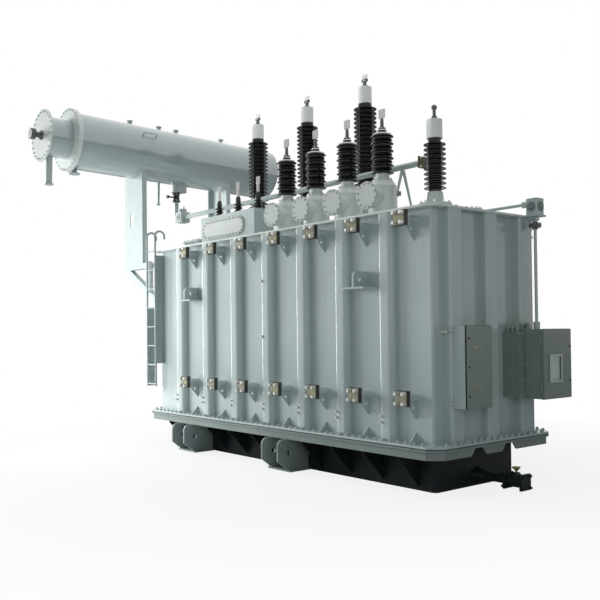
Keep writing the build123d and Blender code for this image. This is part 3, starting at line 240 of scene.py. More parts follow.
def prism(form, plan, low, high):
    """Adds an upright prism on a plan of points, between two levels."""
    foot = form.faces.new([form.verts.new((x, y, low)) for x, y in plan])
    grown = bmesh.ops.extrude_face_region(form, geom=[foot])["geom"]
    top = [part for part in grown if isinstance(part, bmesh.types.BMVert)]
    bmesh.ops.translate(form, vec=(0, 0, high - low), verts=top)


cord = bmesh.new()
prism(cord, flange_corners(joint_proud), flange_low.z - joint_thick / 2, flange_low.z + joint_thick / 2)
bmesh.ops.recalc_face_normals(cord, faces=cord.faces)
finished("joint_cord", cord, rubber)


# Bell flange and its bolts: a plate round the foot of the bell, bolted to the base flange all round.
# The hexagon bolts stand close together, each on its washer, and are painted with the tank.
grey_enamel = sprayed_paint(
    "grey_enamel", (0.408, 0.474, 0.474), (0.380, 0.444, 0.444), (0.325, 0.370, 0.362), 0.15
)
coat(grey_enamel, "bell_flange")
flange_bolt_inset = 0.048
flange_bolt_pitch = 0.122


def along(start, finish, pitch):
    """Points spaced evenly between two points, half a space in from both."""
    start, finish = Vector(start), Vector(finish)
    count = max(1, round((finish - start).length / pitch))
    return [start.lerp(finish, (k + 0.5) / count) for k in range(count)]


def all_round(corners, way, pitch):
    """Places spaced evenly along the sides of a closed outline, all pointing one way."""
    sides = zip(corners, corners[1:] + corners[:1])
    return [(spot, way) for start, finish in sides for spot in along(start, finish, pitch)]


bolt_line = [Vector((x, y, flange_high.z)) for x, y in flange_corners(-flange_bolt_inset)]
flange_spots = all_round(bolt_line, up, flange_bolt_pitch)
finished("flange_bolts", repeated(bolt(0.032, 0.030), flange_spots), grey_enamel)


# Tank body, ribs, foot gussets, lifting lugs and cover: steel plate and bent channels, welded together and sprayed
# with light grey gloss enamel. The long-side ribs have rounder bends than their solids and earthing studs at the
# foot. One of them has two pale plugs, and a sampling cock stands on the cabinet end.
coat(grey_enamel, "tank_body", "side_ribs", "end_ribs", "foot_gussets", "lifting_lugs")
pale_enamel = sprayed_paint(
    "pale_enamel", (0.600, 0.645, 0.632), (0.560, 0.605, 0.594), (0.47, 0.50, 0.48), 0.2
)
coat(pale_enamel, "tank_cover")
zinc, zinc_shader = clouded("bolt_zinc", 45.0, (0.55, 0.56, 0.54), (0.72, 0.72, 0.69), 0.28, 0.48)
zinc_shader.inputs["Metallic"].default_value = 0.85
tank_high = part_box("tank_body")[1]
rib_low, rib_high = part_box("side_ribs")
rib_first, rib_pitch, rib_count = 2.335, 0.760, 7
rib_places = [rib_first - k * rib_pitch for k in range(rib_count)]
rib_half, rib_round, rib_steps = 0.1125, 0.065, 10
rib_flat = rib_half - rib_round
rib_depth = rib_high.y - tank_high.y
rib_plan = [(-rib_half, 0.0)]
for middle, first in ((-rib_flat, 180), (rib_flat, 90)):
    for k in range(rib_steps + 1):
        angle = math.radians(first - 90 * k / rib_steps)
        rib_plan.append(
            (middle + rib_round * math.cos(angle), rib_depth - rib_round * (1 - math.sin(angle)))
        )
rib_plan.append((rib_half, 0.0))
channels = bmesh.new()
for x in rib_places:
    for side in (-1, 1):
        plan = [(x + across, side * (tank_high.y + out)) for across, out in rib_plan]
        prism(channels, plan, rib_low.z, rib_high.z)
bmesh.ops.recalc_face_normals(channels, faces=channels.faces)
rib_channels = finished("rib_channels", channels, grey_enamel, smooth=True)
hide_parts("side_ribs")

stud_shift = -0.070
stud_seat = rib_high.y - rib_round + math.sqrt(rib_round ** 2 - (stud_shift + rib_flat) ** 2)
stud_levels = (0.790, 0.860)
stud_spots = [
    (Vector((x + stud_shift, side * stud_seat, z)), (0, side, 0))
    for x in rib_places for z in stud_levels for side in (-1, 1)
]
finished("earthing_studs", repeated(bolt(0.026, 0.030), stud_spots), zinc)
plug_rib = 3
plug_levels = (1.786, 2.548)
plug_spots = [(Vector((rib_places[plug_rib] + stud_shift, -stud_seat, z)), front) for z in plug_levels]
finished("rib_plugs", repeated(bolt(0.032, 0.028), plug_spots), pale_enamel)


def rod(form, start, finish, radius, end_radius=None, sides=20):
    """Adds a round bar, or a cone if its end has another radius, between two points."""
    start, finish = Vector(start), Vector(finish)
    turn = (finish - start).to_track_quat("Z", "Y").to_matrix().to_4x4()
    bmesh.ops.create_cone(
        form, cap_ends=True, segments=sides, radius1=radius,
        radius2=radius if end_radius is None else end_radius, depth=(finish - start).length,
        matrix=Matrix.Translation((start + finish) / 2) @ turn,
    )


cock_foot = Vector((tank_high.x, -0.800, 1.823))
cock = bmesh.new()
for start, finish, radius, sides in (
    ((-0.002, 0, 0), (0.012, 0, 0), 0.026, 20),  # foot plate
    ((0.012, 0, 0), (0.070, 0, 0), 0.013, 20),  # barrel
    ((0.045, 0, -0.020), (0.045, 0, 0.026), 0.010, 20),  # spindle
    ((0.045, -0.004, 0.030), (0.045, 0.048, 0.030), 0.005, 20),  # lever
    ((0.070, 0, 0), (0.086, 0, 0), 0.017, 6),  # cap nut
):
    rod(cock, cock_foot + Vector(start), cock_foot + Vector(finish), radius, sides=sides)
finished("sampling_cock", cock, zinc)


# Radiator connections: stub pipes welded into the walls, cast shut-off valves with a dark oil varnish,
# and brown-gold passivated blanking plates, each on four long zinc-plated bolts.
coat(grey_enamel, "radiator_stubs")
oiled_iron = sprayed_paint(
    "oiled_iron", (0.024, 0.026, 0.024), (0.038, 0.039, 0.036), (0.07, 0.068, 0.058), 0.38, gloss=0.35
)
coat(oiled_iron, "radiator_valves")
passivated, passivated_tree, passivated_shader = new_finish("passivated_steel")
passivated_shader.inputs["Metallic"].default_value = 0.25
bloom = noise(passivated_tree, 11.0, 6.0)
bloom_share = between(passivated_tree, bloom, 0.38, 0.62, 0.0, 1.0)
passivated_tree.links.new(
    tinted(passivated_tree, bloom_share, (0.32, 0.295, 0.190), (0.20, 0.20, 0.150)),
    passivated_shader.inputs["Base Color"],
)
bloom_rough = between(passivated_tree, bloom, 0.3, 0.7, 0.34, 0.5)
passivated_tree.links.new(bloom_rough, passivated_shader.inputs["Roughness"])
coat(passivated, "blanking_plates")
blank_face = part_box("blanking_plates")[1].y
bay_first = 2.715
bay_places = [bay_first - k * rib_pitch for k in range(rib_count)]
stub_levels = (1.092, 3.092)
stub_round = 0.045
blank_bolt_offset = 0.054
blank_spots = [
    (Vector((x + sx * blank_bolt_offset, side * blank_face, z + sz * blank_bolt_offset)), (0, side, 0))
    for x in bay_places for z in stub_levels for side in (-1, 1) for sx in (-1, 1) for sz in (-1, 1)
]
finished("blank_bolts", repeated(bolt(0.040, 0.044), blank_spots), zinc)


def turned(name, profile, steps):
    """A mesh turned about the Z axis from a profile of radii and levels."""
    form = bmesh.new()
    points = [form.verts.new((radius, 0, level)) for radius, level in profile]
    edges = [form.edges.new(pair) for pair in zip(points, points[1:])]
    bmesh.ops.spin(
        form, geom=points + edges, cent=(0, 0, 0), axis=(0, 0, 1), angle=2 * math.pi, steps=steps,
        use_merge=True,
    )
    bmesh.ops.remove_doubles(form, verts=form.verts, dist=1e-5)
    bmesh.ops.recalc_face_normals(form, faces=form.faces)
    shape = bpy.data.meshes.new(name)
    form.to_mesh(shape)
    form.free()
    return shape


def weld_ring(radius, leg):
    """A fillet weld round a pipe that stands on the XY plane."""
    sunk = 0.002
    root, toe, throat = (radius - sunk, -sunk), (radius + leg, -sunk), (radius - sunk, leg)
    return turned("weld", (root, toe, throat, root), 28)


stub_weld_spots = [
    (Vector((x, side * tank_high.y, z)), (0, side, 0))
    for x in bay_places for z in stub_levels for side in (-1, 1)
]
stub_welds = repeated(weld_ring(stub_round, 0.010), stub_weld_spots)
finished("stub_welds", stub_welds, grey_enamel, smooth=True)


# Medium-voltage bushings: turned turrets welded to the cover, round bolted handhole covers, all in pale enamel,
# black glazed porcelains on bolted top flanges, and flat metal terminals with dark nuts on their studs.
# The porcelains have wide and narrow sheds in turn, where their solids have one kind.
coat(pale_enamel, "mv_turrets")
lid_enamel = sprayed_paint(
    "lid_enamel", (0.470, 0.505, 0.480), (0.445, 0.480, 0.458), (0.39, 0.41, 0.38), 0.26
)
coat(lid_enamel, "mv_handhole_covers")
glaze, glaze_shader = clouded(
    "black_glaze", 14.0, (0.004, 0.005, 0.007), (0.010, 0.011, 0.013), 0.08, 0.18
)
glaze_shader.inputs["IOR"].default_value = 1.55
glaze_shader.inputs["Specular IOR Level"].default_value = 0.28
coat(glaze, "mv_porcelains", "lv_porcelains", "hv_porcelains", "neutral_porcelain")
bright_metal, bright_shader = clouded(
    "terminal_metal", 30.0, (0.36, 0.37, 0.37), (0.52, 0.53, 0.52), 0.28, 0.45, stretch=(1.0, 1.0, 9.0)
)
bright_shader.inputs["Metallic"].default_value = 1.0
coat(bright_metal, "mv_terminals", "lv_terminals")


def ring(middle, way, radius, count):
    """Places evenly round a circle about an axis, all pointing along it."""
    facing = Vector(way).to_track_quat("Z", "Y")
    spots = []
    for k in range(count):
        angle = 2 * math.pi * (k + 0.5) / count
        spoke = facing @ Vector((radius * math.cos(angle), radius * math.sin(angle), 0))
        spots.append((Vector(middle) + spoke, way))
    return spots


cover_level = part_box("tank_cover")[1].z
mv_first, mv_pitch, mv_count = 1.879, 0.631, 4
mv_places = [mv_first - k * mv_pitch for k in range(mv_count)]
mv_line = -0.585
mv_turret = 0.180
mv_flange_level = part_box("mv_turrets")[1].z - 0.080
mv_flange_bolts = 0.110
handhole_low, handhole_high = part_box("mv_handhole_covers")
handhole_level = (handhole_low.z + handhole_high.z) / 2
handhole_bolts = 0.150
handhole_spots, mv_flange_spots, mv_weld_spots = [], [], []
for x in mv_places:
    handhole_spots += ring((x, handhole_low.y, handhole_level), front, handhole_bolts, 12)
    mv_flange_spots += ring((x, mv_line, mv_flange_level), up, mv_flange_bolts, 8)
    mv_weld_spots.append((Vector((x, mv_line, cover_level)), up))
finished("handhole_bolts", repeated(bolt(0.019, 0.014), handhole_spots), lid_enamel)
finished("mv_flange_bolts", repeated(bolt(0.024, 0.024), mv_flange_spots), pale_enamel)
mv_welds = repeated(weld_ring(mv_turret, 0.012), mv_weld_spots)
finished("mv_welds", mv_welds, pale_enamel, smooth=True)

mv_foot, mv_head = (corner.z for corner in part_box("mv_porcelains"))
mv_sheds = 6
mv_low_shed, mv_high_shed = mv_foot + 0.014, mv_head - 0.026
mv_shed_pitch = (mv_high_shed - mv_low_shed) / (mv_sheds - 1)
mv_core, mv_wide_shed, mv_narrow_shed = 0.113, 0.1425, 0.1265
mv_foot_round, mv_head_round = 0.098, 0.108
mv_profile = [(0.0, mv_foot), (mv_foot_round, mv_foot)]
for k in range(2 * mv_sheds - 1):
    shed = mv_low_shed + k * mv_shed_pitch / 2
    tip = mv_narrow_shed if k % 2 else mv_wide_shed
    brim = tip - mv_core
    mv_profile += [
        (mv_core, shed - 0.010), (mv_core + 0.75 * brim, shed - 0.005),
        (tip - 0.001, shed - 0.003), (tip, shed + 0.001), (tip - 0.003, shed + 0.006),
        (mv_core + 0.12 * brim, shed + 0.006 + 0.6 * brim),
    ]
mv_profile += [(mv_head_round, mv_head), (0.0, mv_head)]
porcelains = repeated(turned("porcelain", mv_profile, 40), [(Vector((x, mv_line, 0)), up) for x in mv_places])
mv_bodies = finished("mv_porcelain_bodies", porcelains, glaze, smooth=True)
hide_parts("mv_porcelains")


def stack(form, foot, way, *bars):
    """Adds bars in line from a foot: each has two heights, two radii and its number of sides."""
    for low, high, radius, end_radius, sides in bars:
        rod(form, foot + low * way, foot + high * way, radius, end_radius, sides)


mv_plug_level = 3.542
mv_plug_way = Vector((0.64, 0.77, 0))
mv_lids, mv_nuts, mv_clamps, mv_plugs = (bmesh.new() for k in range(4))
for x in mv_places:
    head = Vector((x, mv_line, mv_head))
    stack(mv_lids, head, up, (-0.002, 0.010, 0.118, 0.116, 32), (0.052, 0.062, 0.058, 0.058, 24))
    stack(mv_nuts, head, up, (0.010, 0.052, 0.054, 0.052, 16), (0.062, 0.092, 0.050, 0.046, 6))
    stack(mv_clamps, head, up, (0.092, 0.200, 0.025, 0.021, 16))
    face = Vector((x, mv_line, mv_plug_level)) + mv_turret * mv_plug_way
    stack(mv_plugs, face, mv_plug_way, (-0.012, 0.018, 0.040, 0.040, 20), (0.018, 0.044, 0.030, 0.030, 6))
finished("mv_lids", mv_lids, zinc)
finished("mv_nuts", mv_nuts, oiled_iron)
dark_steel = sprayed_paint(
    "dark_steel", (0.115, 0.125, 0.120), (0.090, 0.098, 0.095), (0.17, 0.17, 0.16), 0.35
)
finished("mv_clamps", mv_clamps, dark_steel)
finished("mv_turret_plugs", mv_plugs, rim_paint)


# Low-voltage box and cover hatch: sheet steel welded to the cover. The box has a long round-ended cover on its
# front and three small bushings on top; the hatch is a flat lid on a low frame. Hexagon bolts hold both lids.
coat(grey_enamel, "lv_box", "cover_hatch")
coat(lid_enamel, "lv_box_cover")
lid_low, lid_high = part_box("lv_box_cover")
lid_middle = (lid_low + lid_high) / 2
lid_bolt_inset = 0.024
lid_bolt_round = (lid_high.z - lid_low.z) / 2 - lid_bolt_inset
lid_straight = (lid_high.x - lid_low.x) / 2 - (lid_high.z - lid_low.z) / 2
lid_straight_count, lid_end_count = 10, 6
lid_bolt_pitch = 2 * lid_straight / lid_straight_count
lid_spots = []
for side in (-1, 1):
    edge = Vector((lid_middle.x, lid_low.y, lid_middle.z + side * lid_bolt_round))
    reach = lid_straight * right
    lid_spots += [(spot, front) for spot in along(edge - reach, edge + reach, lid_bolt_pitch)]
    for k in range(lid_end_count):
        angle = math.pi * ((k + 0.5) / lid_end_count - 0.5)
        spoke = Vector((side * math.cos(angle), 0, math.sin(angle))) * lid_bolt_round
        end = Vector((lid_middle.x + side * lid_straight, lid_low.y, lid_middle.z))
        lid_spots.append((end + spoke, front))
finished("lv_lid_bolts", repeated(bolt(0.020, 0.014), lid_spots), lid_enamel)

lv_places = (-0.575, -1.085, -1.595)
lv_line = -0.680
lv_nut_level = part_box("lv_terminals")[0].z + 0.003
lv_nuts = bmesh.new()
for x in lv_places:
    foot = Vector((x, lv_line, lv_nut_level))
    stack(lv_nuts, foot, up, (0.0, 0.036, 0.042, 0.042, 6), (0.036, 0.066, 0.035, 0.035, 6))
finished("lv_nuts", lv_nuts, oiled_iron)

hatch_low, hatch_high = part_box("cover_hatch")
hatch_inset, hatch_pitch = 0.032, 0.085
hatch_left, hatch_right = hatch_low.x + hatch_inset, hatch_high.x - hatch_inset
hatch_front, hatch_rear = hatch_low.y + hatch_inset, hatch_high.y - hatch_inset
hatch_corners = [
    Vector((x, y, hatch_high.z))
    for x, y in (
        (hatch_left, hatch_front), (hatch_right, hatch_front), (hatch_right, hatch_rear), (hatch_left, hatch_rear)
    )
]
hatch_spots = all_round(hatch_corners, up, hatch_pitch)
finished("hatch_bolts", repeated(bolt(0.022, 0.018), hatch_spots), grey_enamel)


# High-voltage and neutral bushings: enamelled turrets welded or clamped to the cover, black glazed porcelains
# on bolted flanges, and spun caps in near-white enamel, with dark clamps on their studs.
coat(pale_enamel, "hv_turrets", "neutral_turret")
cap_enamel = sprayed_paint("cap_enamel", (0.80, 0.82, 0.81), (0.77, 0.79, 0.78), (0.68, 0.69, 0.68), 0.24)
coat(cap_enamel, "hv_caps", "neutral_cap")
hv_places = (0.487, -0.828, -2.143)
hv_line = 0.495
hv_turret, hv_flange_bolts = 0.260, 0.188
hv_flange_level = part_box("hv_turrets")[1].z
hv_flange_spots, hv_weld_spots = [], []
for x in hv_places:
    hv_flange_spots += ring((x, hv_line, hv_flange_level), up, hv_flange_bolts, 12)
    hv_weld_spots.append((Vector((x, hv_line, cover_level)), up))
finished("hv_flange_bolts", repeated(bolt(0.030, 0.030), hv_flange_spots), zinc)
hv_welds = repeated(weld_ring(hv_turret, 0.014), hv_weld_spots)
finished("hv_welds", hv_welds, pale_enamel, smooth=True)

neutral_place = Vector((2.525, -0.355, 0.0))
plate_level = cover_level + 0.030
collar_level = plate_level + 0.090
plate_bolts, collar_bolts = 0.220, 0.172
neutral_spots = ring(neutral_place + plate_level * up, up, plate_bolts, 14)
neutral_spots += ring(neutral_place + collar_level * up, up, collar_bolts, 10)
finished("neutral_bolts", repeated(bolt(0.026, 0.030), neutral_spots), zinc)


def block(form, low, high, rounded, turn=None):
    """Adds a box between two corners, with rounded edges, and turns it about the object's Z axis."""
    low, high = Vector(low), Vector(high)
    place = Matrix.Translation((low + high) / 2) @ Matrix.Diagonal((*(high - low), 1.0))
    made = bmesh.ops.create_cube(form, size=1.0, matrix=(turn or Matrix()) @ place)
    edges = list(dict.fromkeys(edge for corner in made["verts"] for edge in corner.link_edges))
    bmesh.ops.bevel(
        form, geom=edges, offset=rounded, offset_type="OFFSET", affect="EDGES", segments=2, profile=0.5,
        material=-1,
    )


clamp_count, clamp_round = 8, 0.004
neutral_clamps = bmesh.new()
for k in range(clamp_count):
    turn = Matrix.Rotation(2 * math.pi * (k + 0.25) / clamp_count, 4, "Z")
    stand = Matrix.Translation(neutral_place) @ turn
    for low, high in (
        ((0.214, -0.022, plate_level - 0.002), (0.292, 0.022, plate_level + 0.018)),  # finger
        ((0.262, -0.016, cover_level - 0.002), (0.286, 0.016, plate_level + 0.052)),  # stud block
    ):
        block(neutral_clamps, low, high, clamp_round, stand)
finished("neutral_clamps", neutral_clamps, pale_enamel)

neutral_tip = neutral_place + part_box("neutral_cap")[1].z * up
ball_round, ball_drop = 0.0345, 0.033
neutral_rod = bmesh.new()
stack(
    neutral_rod, neutral_tip, up,
    (-0.185, -0.140, 0.034, 0.034, 6), (-0.150, -0.045, 0.020, 0.020, 20),
)
bmesh.ops.create_uvsphere(
    neutral_rod, u_segments=20, v_segments=12, radius=ball_round,
    matrix=Matrix.Translation(neutral_tip - ball_drop * up),
)
finished("neutral_rod", neutral_rod, dark_steel, smooth=True)
hv_stud_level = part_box("hv_caps")[1].z - 0.185
hv_clamps = bmesh.new()
for x in hv_places:
    foot = Vector((x, hv_line, hv_stud_level))
    stack(hv_clamps, foot, up, (-0.001, 0.030, 0.046, 0.046, 6), (0.030, 0.085, 0.027, 0.027, 20))
    block(hv_clamps, foot + Vector((-0.052, -0.018, 0.082)), foot + Vector((0.052, 0.018, 0.122)), clamp_round)
finished("hv_clamps", hv_clamps, dark_steel)


# Tap changer with its drive: cast head with a bolted lid, welded shelf, bevel gear box and steel shafts,
# all enamelled. The gear box has round bolted covers on two faces and a coupling on the upright shaft.
coat(pale_enamel, "tap_changer_head")
coat(grey_enamel, "gear_shelf", "gear_box", "drive_shafts")
tap_middle = Vector((2.175, 0.700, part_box("tap_changer_head")[1].z))
tap_bolts = 0.165
tap_spots = ring(tap_middle, up, tap_bolts, 16)
finished("tap_lid_bolts", repeated(bolt(0.026, 0.024), tap_spots), zinc)

gear_low, gear_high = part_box("gear_box")
gear_middle = (gear_low + gear_high) / 2
gear_cover_thick, gear_cover_bolts = 0.010, 0.044
gear_covers = bmesh.new()
gear_spots = []
for point, way in (
    (Vector((gear_high.x, gear_middle.y, gear_middle.z)), right),
    (Vector((gear_middle.x, gear_low.y, gear_middle.z)), front),
):
    stack(
        gear_covers, point, way,
        (-0.002, gear_cover_thick, 0.056, 0.056, 28), (gear_cover_thick, 0.022, 0.030, 0.024, 20),
    )
    gear_spots += ring(point + gear_cover_thick * way, way, gear_cover_bolts, 6)
finished("gear_covers", gear_covers, rim_paint)
finished("gear_cover_screws", repeated(bolt(0.012, 0.010), gear_spots), rim_paint)

coupling_foot = Vector((gear_middle.x, gear_middle.y, 3.085))
coupling_height, coupling_round, coupling_bolts = 0.036, 0.074, 0.056
coupling = bmesh.new()
stack(
    coupling, coupling_foot, up,
    (0.0, 0.016, coupling_round, coupling_round, 32),
    (0.020, coupling_height, coupling_round, coupling_round, 32),
    (-0.030, 0.060, 0.036, 0.036, 32),
)
coupling_spots = ring(coupling_foot + coupling_height * up, up, coupling_bolts, 6)
coupling_spots += ring(coupling_foot, down, coupling_bolts, 6)
finished("shaft_coupling", coupling, dark_steel)
finished("coupling_bolts", repeated(bolt(0.016, 0.016), coupling_spots), dark_steel)


# Cabinets: folded sheet steel with pan doors on pin hinges. The doors, the drive cabinet, the cable box and the
# glands have the tank's enamel laid on darker, a painted shade. A dark rubber strip on each door's edge is painted
# shadow in the gap round the door, turn locks hold it, and the drive door has a framed window with a card behind
# it.
# Bolted lugs carry the control cabinet, and cables enter the others through glands.
# The tank's enamel laid on darker: a painted shade on the doors, the drive cabinet, the cable box and the glands.
cabinet_shade_enamel = sprayed_paint(
    "cabinet_shade_enamel", (0.200, 0.240, 0.220), (0.182, 0.220, 0.202), (0.16, 0.18, 0.165), 0.28, gloss=0.4
)
coat(cabinet_shade_enamel, "drive_door", "control_door", "cable_box", "drive_cabinet")
coat(grey_enamel, "control_cabinet")
pane, pane_tree, pane_shader = new_finish("window_pane")
pane_shader.inputs["Transmission Weight"].default_value = 0.9
pane_shader.inputs["IOR"].default_value = 1.5
pane_tree.links.new(
    tinted(pane_tree, noise(pane_tree, 6.0), (0.66, 0.73, 0.71), (0.74, 0.80, 0.78)),
    pane_shader.inputs["Base Color"],
)
pane_smears = between(pane_tree, noise(pane_tree, 25.0), 0.3, 0.7, 0.03, 0.12)
pane_tree.links.new(pane_smears, pane_shader.inputs["Roughness"])
coat(pane, "drive_window")

seated = 0.001
gap_shadow_proud, gap_shadow_deep, gap_shadow_round = 0.004, 0.018, 0.0015
lock_inset, lock_round, lock_tip, lock_proud = 0.030, 0.012, 0.011, 0.008
wing = Vector((0.003, 0.003, 0.009))
door_deep = 0.030
# Each leaf: rear face, middle, half width, lower and upper edge, the side away from its hinge, its locks' levels
for leaf, back, middle, half, low, high, free_side, lock_levels in (
    ("drive_leaf", 3.435, 0.700, 0.285, 1.026, 1.843, 1, (1.230, 1.640)),
    ("control_leaf", 3.245, -0.525, 0.215, 0.980, 1.890, -1, (1.120, 1.435, 1.750)),
):
    free_edge = middle + free_side * half
    span = sorted((free_edge - seated * free_side, free_edge + gap_shadow_proud * free_side))
    # Dark rubber strips along each door's free, lower and upper edges: painted shadow in the gap round the door.
    gap_shadow = bmesh.new()
    block(gap_shadow, (back, span[0], low), (back + gap_shadow_deep, span[1], high), gap_shadow_round)
    for edge, way in ((low, -1), (high, 1)):
        span = sorted((edge - seated * way, edge + gap_shadow_proud * way))
        block(gap_shadow, (back, middle - half, span[0]), (back + gap_shadow_deep, middle + half, span[1]), gap_shadow_round)
    finished(leaf + "_seal", gap_shadow, rubber, leaf)
    locks = bmesh.new()
    lock_line = free_edge - lock_inset * free_side
    for level in lock_levels:
        lock_foot = Vector((back + door_deep, lock_line, level))
        stack(locks, lock_foot, right, (-seated, lock_proud, lock_round, lock_tip, 20))
        wing_middle = lock_foot + (lock_proud + 0.002) * right
        block(locks, wing_middle - wing, wing_middle + wing, 0.001)
    finished(leaf + "_locks", locks, oiled_iron, leaf)

control_face = 3.275
plate_thick, plate_round, plate_screw_offset = 0.003, 0.0012, 0.066
plate_half_y, plate_half_z = 0.075, 0.013
plates = bmesh.new()
plate_spots = []
for y, z in ((-0.575, 1.655), (-0.585, 1.217)):
    block(
        plates, (control_face - seated, y - plate_half_y, z - plate_half_z),
        (control_face + plate_thick, y + plate_half_y, z + plate_half_z), plate_round,
    )
    for side in (-1, 1):
        plate_spots.append((Vector((control_face + plate_thick, y + side * plate_screw_offset, z)), right))
finished("door_plates", plates, passivated, "control_leaf")
plate_screws = repeated(bolt(0.008, 0.008), plate_spots)
finished("plate_screws", plate_screws, zinc, "control_leaf")

pane_middle = Vector((3.475, 0.649, 1.381))
pane_half_y, pane_half_z = 0.105, 0.140
frame_wide, frame_proud, frame_round = 0.026, 0.003, 0.001
window_frame = bmesh.new()
for side in (-1, 1):
    span = sorted((side * pane_half_y, side * (pane_half_y + frame_wide)))
    block(
        window_frame, pane_middle + Vector((-seated, span[0], -pane_half_z - frame_wide)),
        pane_middle + Vector((frame_proud, span[1], pane_half_z + frame_wide)), frame_round,
    )
    span = sorted((side * pane_half_z, side * (pane_half_z + frame_wide)))
    block(
        window_frame, pane_middle + Vector((-seated, -pane_half_y, span[0])),
        pane_middle + Vector((frame_proud, pane_half_y, span[1])), frame_round,
    )
finished("window_frame", window_frame, lid_enamel, "drive_leaf")
card_back, card_face = 3.447, 3.450
card = bmesh.new()
block(
    card, (card_back, pane_middle.y - pane_half_y, pane_middle.z - pane_half_z),
    (card_face, pane_middle.y + pane_half_y, pane_middle.z + pane_half_z), 0.001,
)
finished("window_card", card, pale_enamel, "drive_leaf")

lug_back, lug_face = 3.075, 3.085
lug_reach, lug_half, lug_bolt_reach = 0.046, 0.028, 0.025
lugs = bmesh.new()
lug_spots = []
for y, side in ((-0.740, -1), (-0.310, 1)):
    for z in (1.030, 1.840):
        span = sorted((y - seated * side, y + lug_reach * side))
        block(lugs, (lug_back, span[0], z - lug_half), (lug_face, span[1], z + lug_half), 0.002)
        lug_spots.append((Vector((lug_face, y + lug_bolt_reach * side, z)), right))
finished("cabinet_lugs", lugs, grey_enamel)
finished("cabinet_lug_bolts", repeated(bolt(0.018, 0.018), lug_spots), zinc)

cable_top, drive_top = 1.809, 1.843
glands = bmesh.new()
for gland_foot in (
    (3.025, 0.346, cable_top), (3.090, 0.346, cable_top), (3.155, 0.346, cable_top),
    (3.130, 0.470, drive_top), (3.130, 0.560, drive_top), (3.220, 0.470, drive_top),
):
    stack(
        glands, Vector(gland_foot), up,
        (-seated, 0.022, 0.033, 0.033, 6), (0.022, 0.046, 0.026, 0.026, 16), (0.046, 0.074, 0.030, 0.018, 12),
    )
finished("cable_glands", glands, cabinet_shade_enamel)

lid_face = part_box("cable_box")[1].x
screw_first, screw_pitch, screw_count = 1.050, 0.187, 5
screw_lines = (0.301, 0.391)
lid_screws = [
    (Vector((lid_face, y, screw_first + k * screw_pitch)), right)
    for y in screw_lines for k in range(screw_count)
]
finished("cable_lid_screws", repeated(bolt(0.011, 0.010), lid_screws), zinc)


# Oil conservator: a rolled steel shell in high-gloss enamel, which leans a little to its rear. It has a bolted
# ring, a neck with a bolted disc, a dished rear end, and a dark level gauge with a pale dial.
# A bent-bar handle is welded to each side.
drum_enamel = sprayed_paint(
    "drum_enamel", (0.345, 0.402, 0.405), (0.320, 0.375, 0.378), (0.30, 0.345, 0.345), 0.13, gloss=1.0
)
drum_shader = drum_enamel.node_tree.nodes["Principled BSDF"]
drum_shader.inputs["Coat Weight"].default_value = 1.0
drum_shader.inputs["Coat Roughness"].default_value = 0.05
coat(drum_enamel, "conservator_shell", "conservator_neck", "conservator_rear_end")
coat(grey_enamel, "conservator_fittings")
# The disc and the front ring are painted paler than the shell, a painted highlight where they face the lamp.
coat(pale_enamel, "conservator_disc", "conservator_front_end")
dark_case = sprayed_paint(
    "dark_case", (0.085, 0.090, 0.090), (0.105, 0.110, 0.108), (0.15, 0.15, 0.145), 0.3, gloss=0.4
)
coat(dark_case, "level_gauge")
drum_middle = Vector((-3.960, 0.0, 5.070))
drum_lean = math.radians(1.5)
ahead = Vector((0, -math.cos(drum_lean), math.sin(drum_lean)))
ring_back, ring_face, disc_back, disc_face, gauge_face = 2.105, 2.175, 2.577, 2.605, 2.795
drum_spots = []
for back, face, radius, count in ((ring_back, ring_face, 0.503, 32), (disc_back, disc_face, 0.392, 24)):
    drum_spots += ring(drum_middle + face * ahead, ahead, radius, count)
    drum_spots += ring(drum_middle + back * ahead, -ahead, radius, count)
finished("conservator_bolts", repeated(bolt(0.024, 0.013), drum_spots), pale_enamel)

dial_foot = drum_middle + gauge_face * ahead
dial = bmesh.new()
stack(dial, dial_foot, ahead, (-0.002, 0.003, 0.074, 0.074, 36))
finished("gauge_dial", dial, pale_enamel)
hand_way = Vector((0.55, 0, 0.83))
hand = bmesh.new()
stack(hand, dial_foot, ahead, (0.002, 0.010, 0.010, 0.010, 12))
stack(hand, dial_foot + 0.006 * ahead, hand_way, (-0.018, 0.058, 0.0045, 0.0015, 8))
finished("gauge_hand", hand, dark_case)
gauge_plate, gauge_bolts = 0.022, 0.062
gauge_spots = ring(drum_middle + (disc_face + gauge_plate) * ahead, ahead, gauge_bolts, 6)
finished("gauge_bolts", repeated(bolt(0.016, 0.016), gauge_spots), zinc)

drum_round = 0.475
handle_angle = math.radians(27)
handle_near, handle_far = 0.965, 0.710
handle_bar, handle_proud, handle_bend = 0.011, 0.075, 0.030
handle_leg = handle_proud - handle_bend
handles = bmesh.new()
for side in (-1, 1):
    outward = Vector((side * math.cos(handle_angle), 0, math.sin(handle_angle)))
    facing = outward.to_track_quat("Z", "Y").to_matrix().to_4x4()
    near, far = (drum_middle + reach * ahead + drum_round * outward for reach in (handle_near, handle_far))
    span = (near - far).normalized()
    grip = handle_proud * outward
    rod(handles, far + grip + handle_bend * span, near + grip - handle_bend * span, handle_bar, sides=12)
    for end, inward in ((near, -span), (far, span)):
        stack(handles, end, outward, (-0.01, handle_leg, handle_bar, handle_bar, 12))
        leg_top = end + handle_leg * outward
        elbow = bmesh.ops.create_circle(
            handles, segments=12, radius=handle_bar, matrix=Matrix.Translation(leg_top) @ facing
        )["verts"]
        elbow_edges = list(dict.fromkeys(edge for point in elbow for edge in point.link_edges))
        bmesh.ops.spin(
            handles, geom=elbow + elbow_edges, cent=leg_top + handle_bend * inward, axis=outward.cross(inward),
            angle=math.pi / 2, steps=6,
        )
bmesh.ops.recalc_face_normals(handles, faces=handles.faces)
finished("drum_handles", handles, grey_enamel, smooth=True)


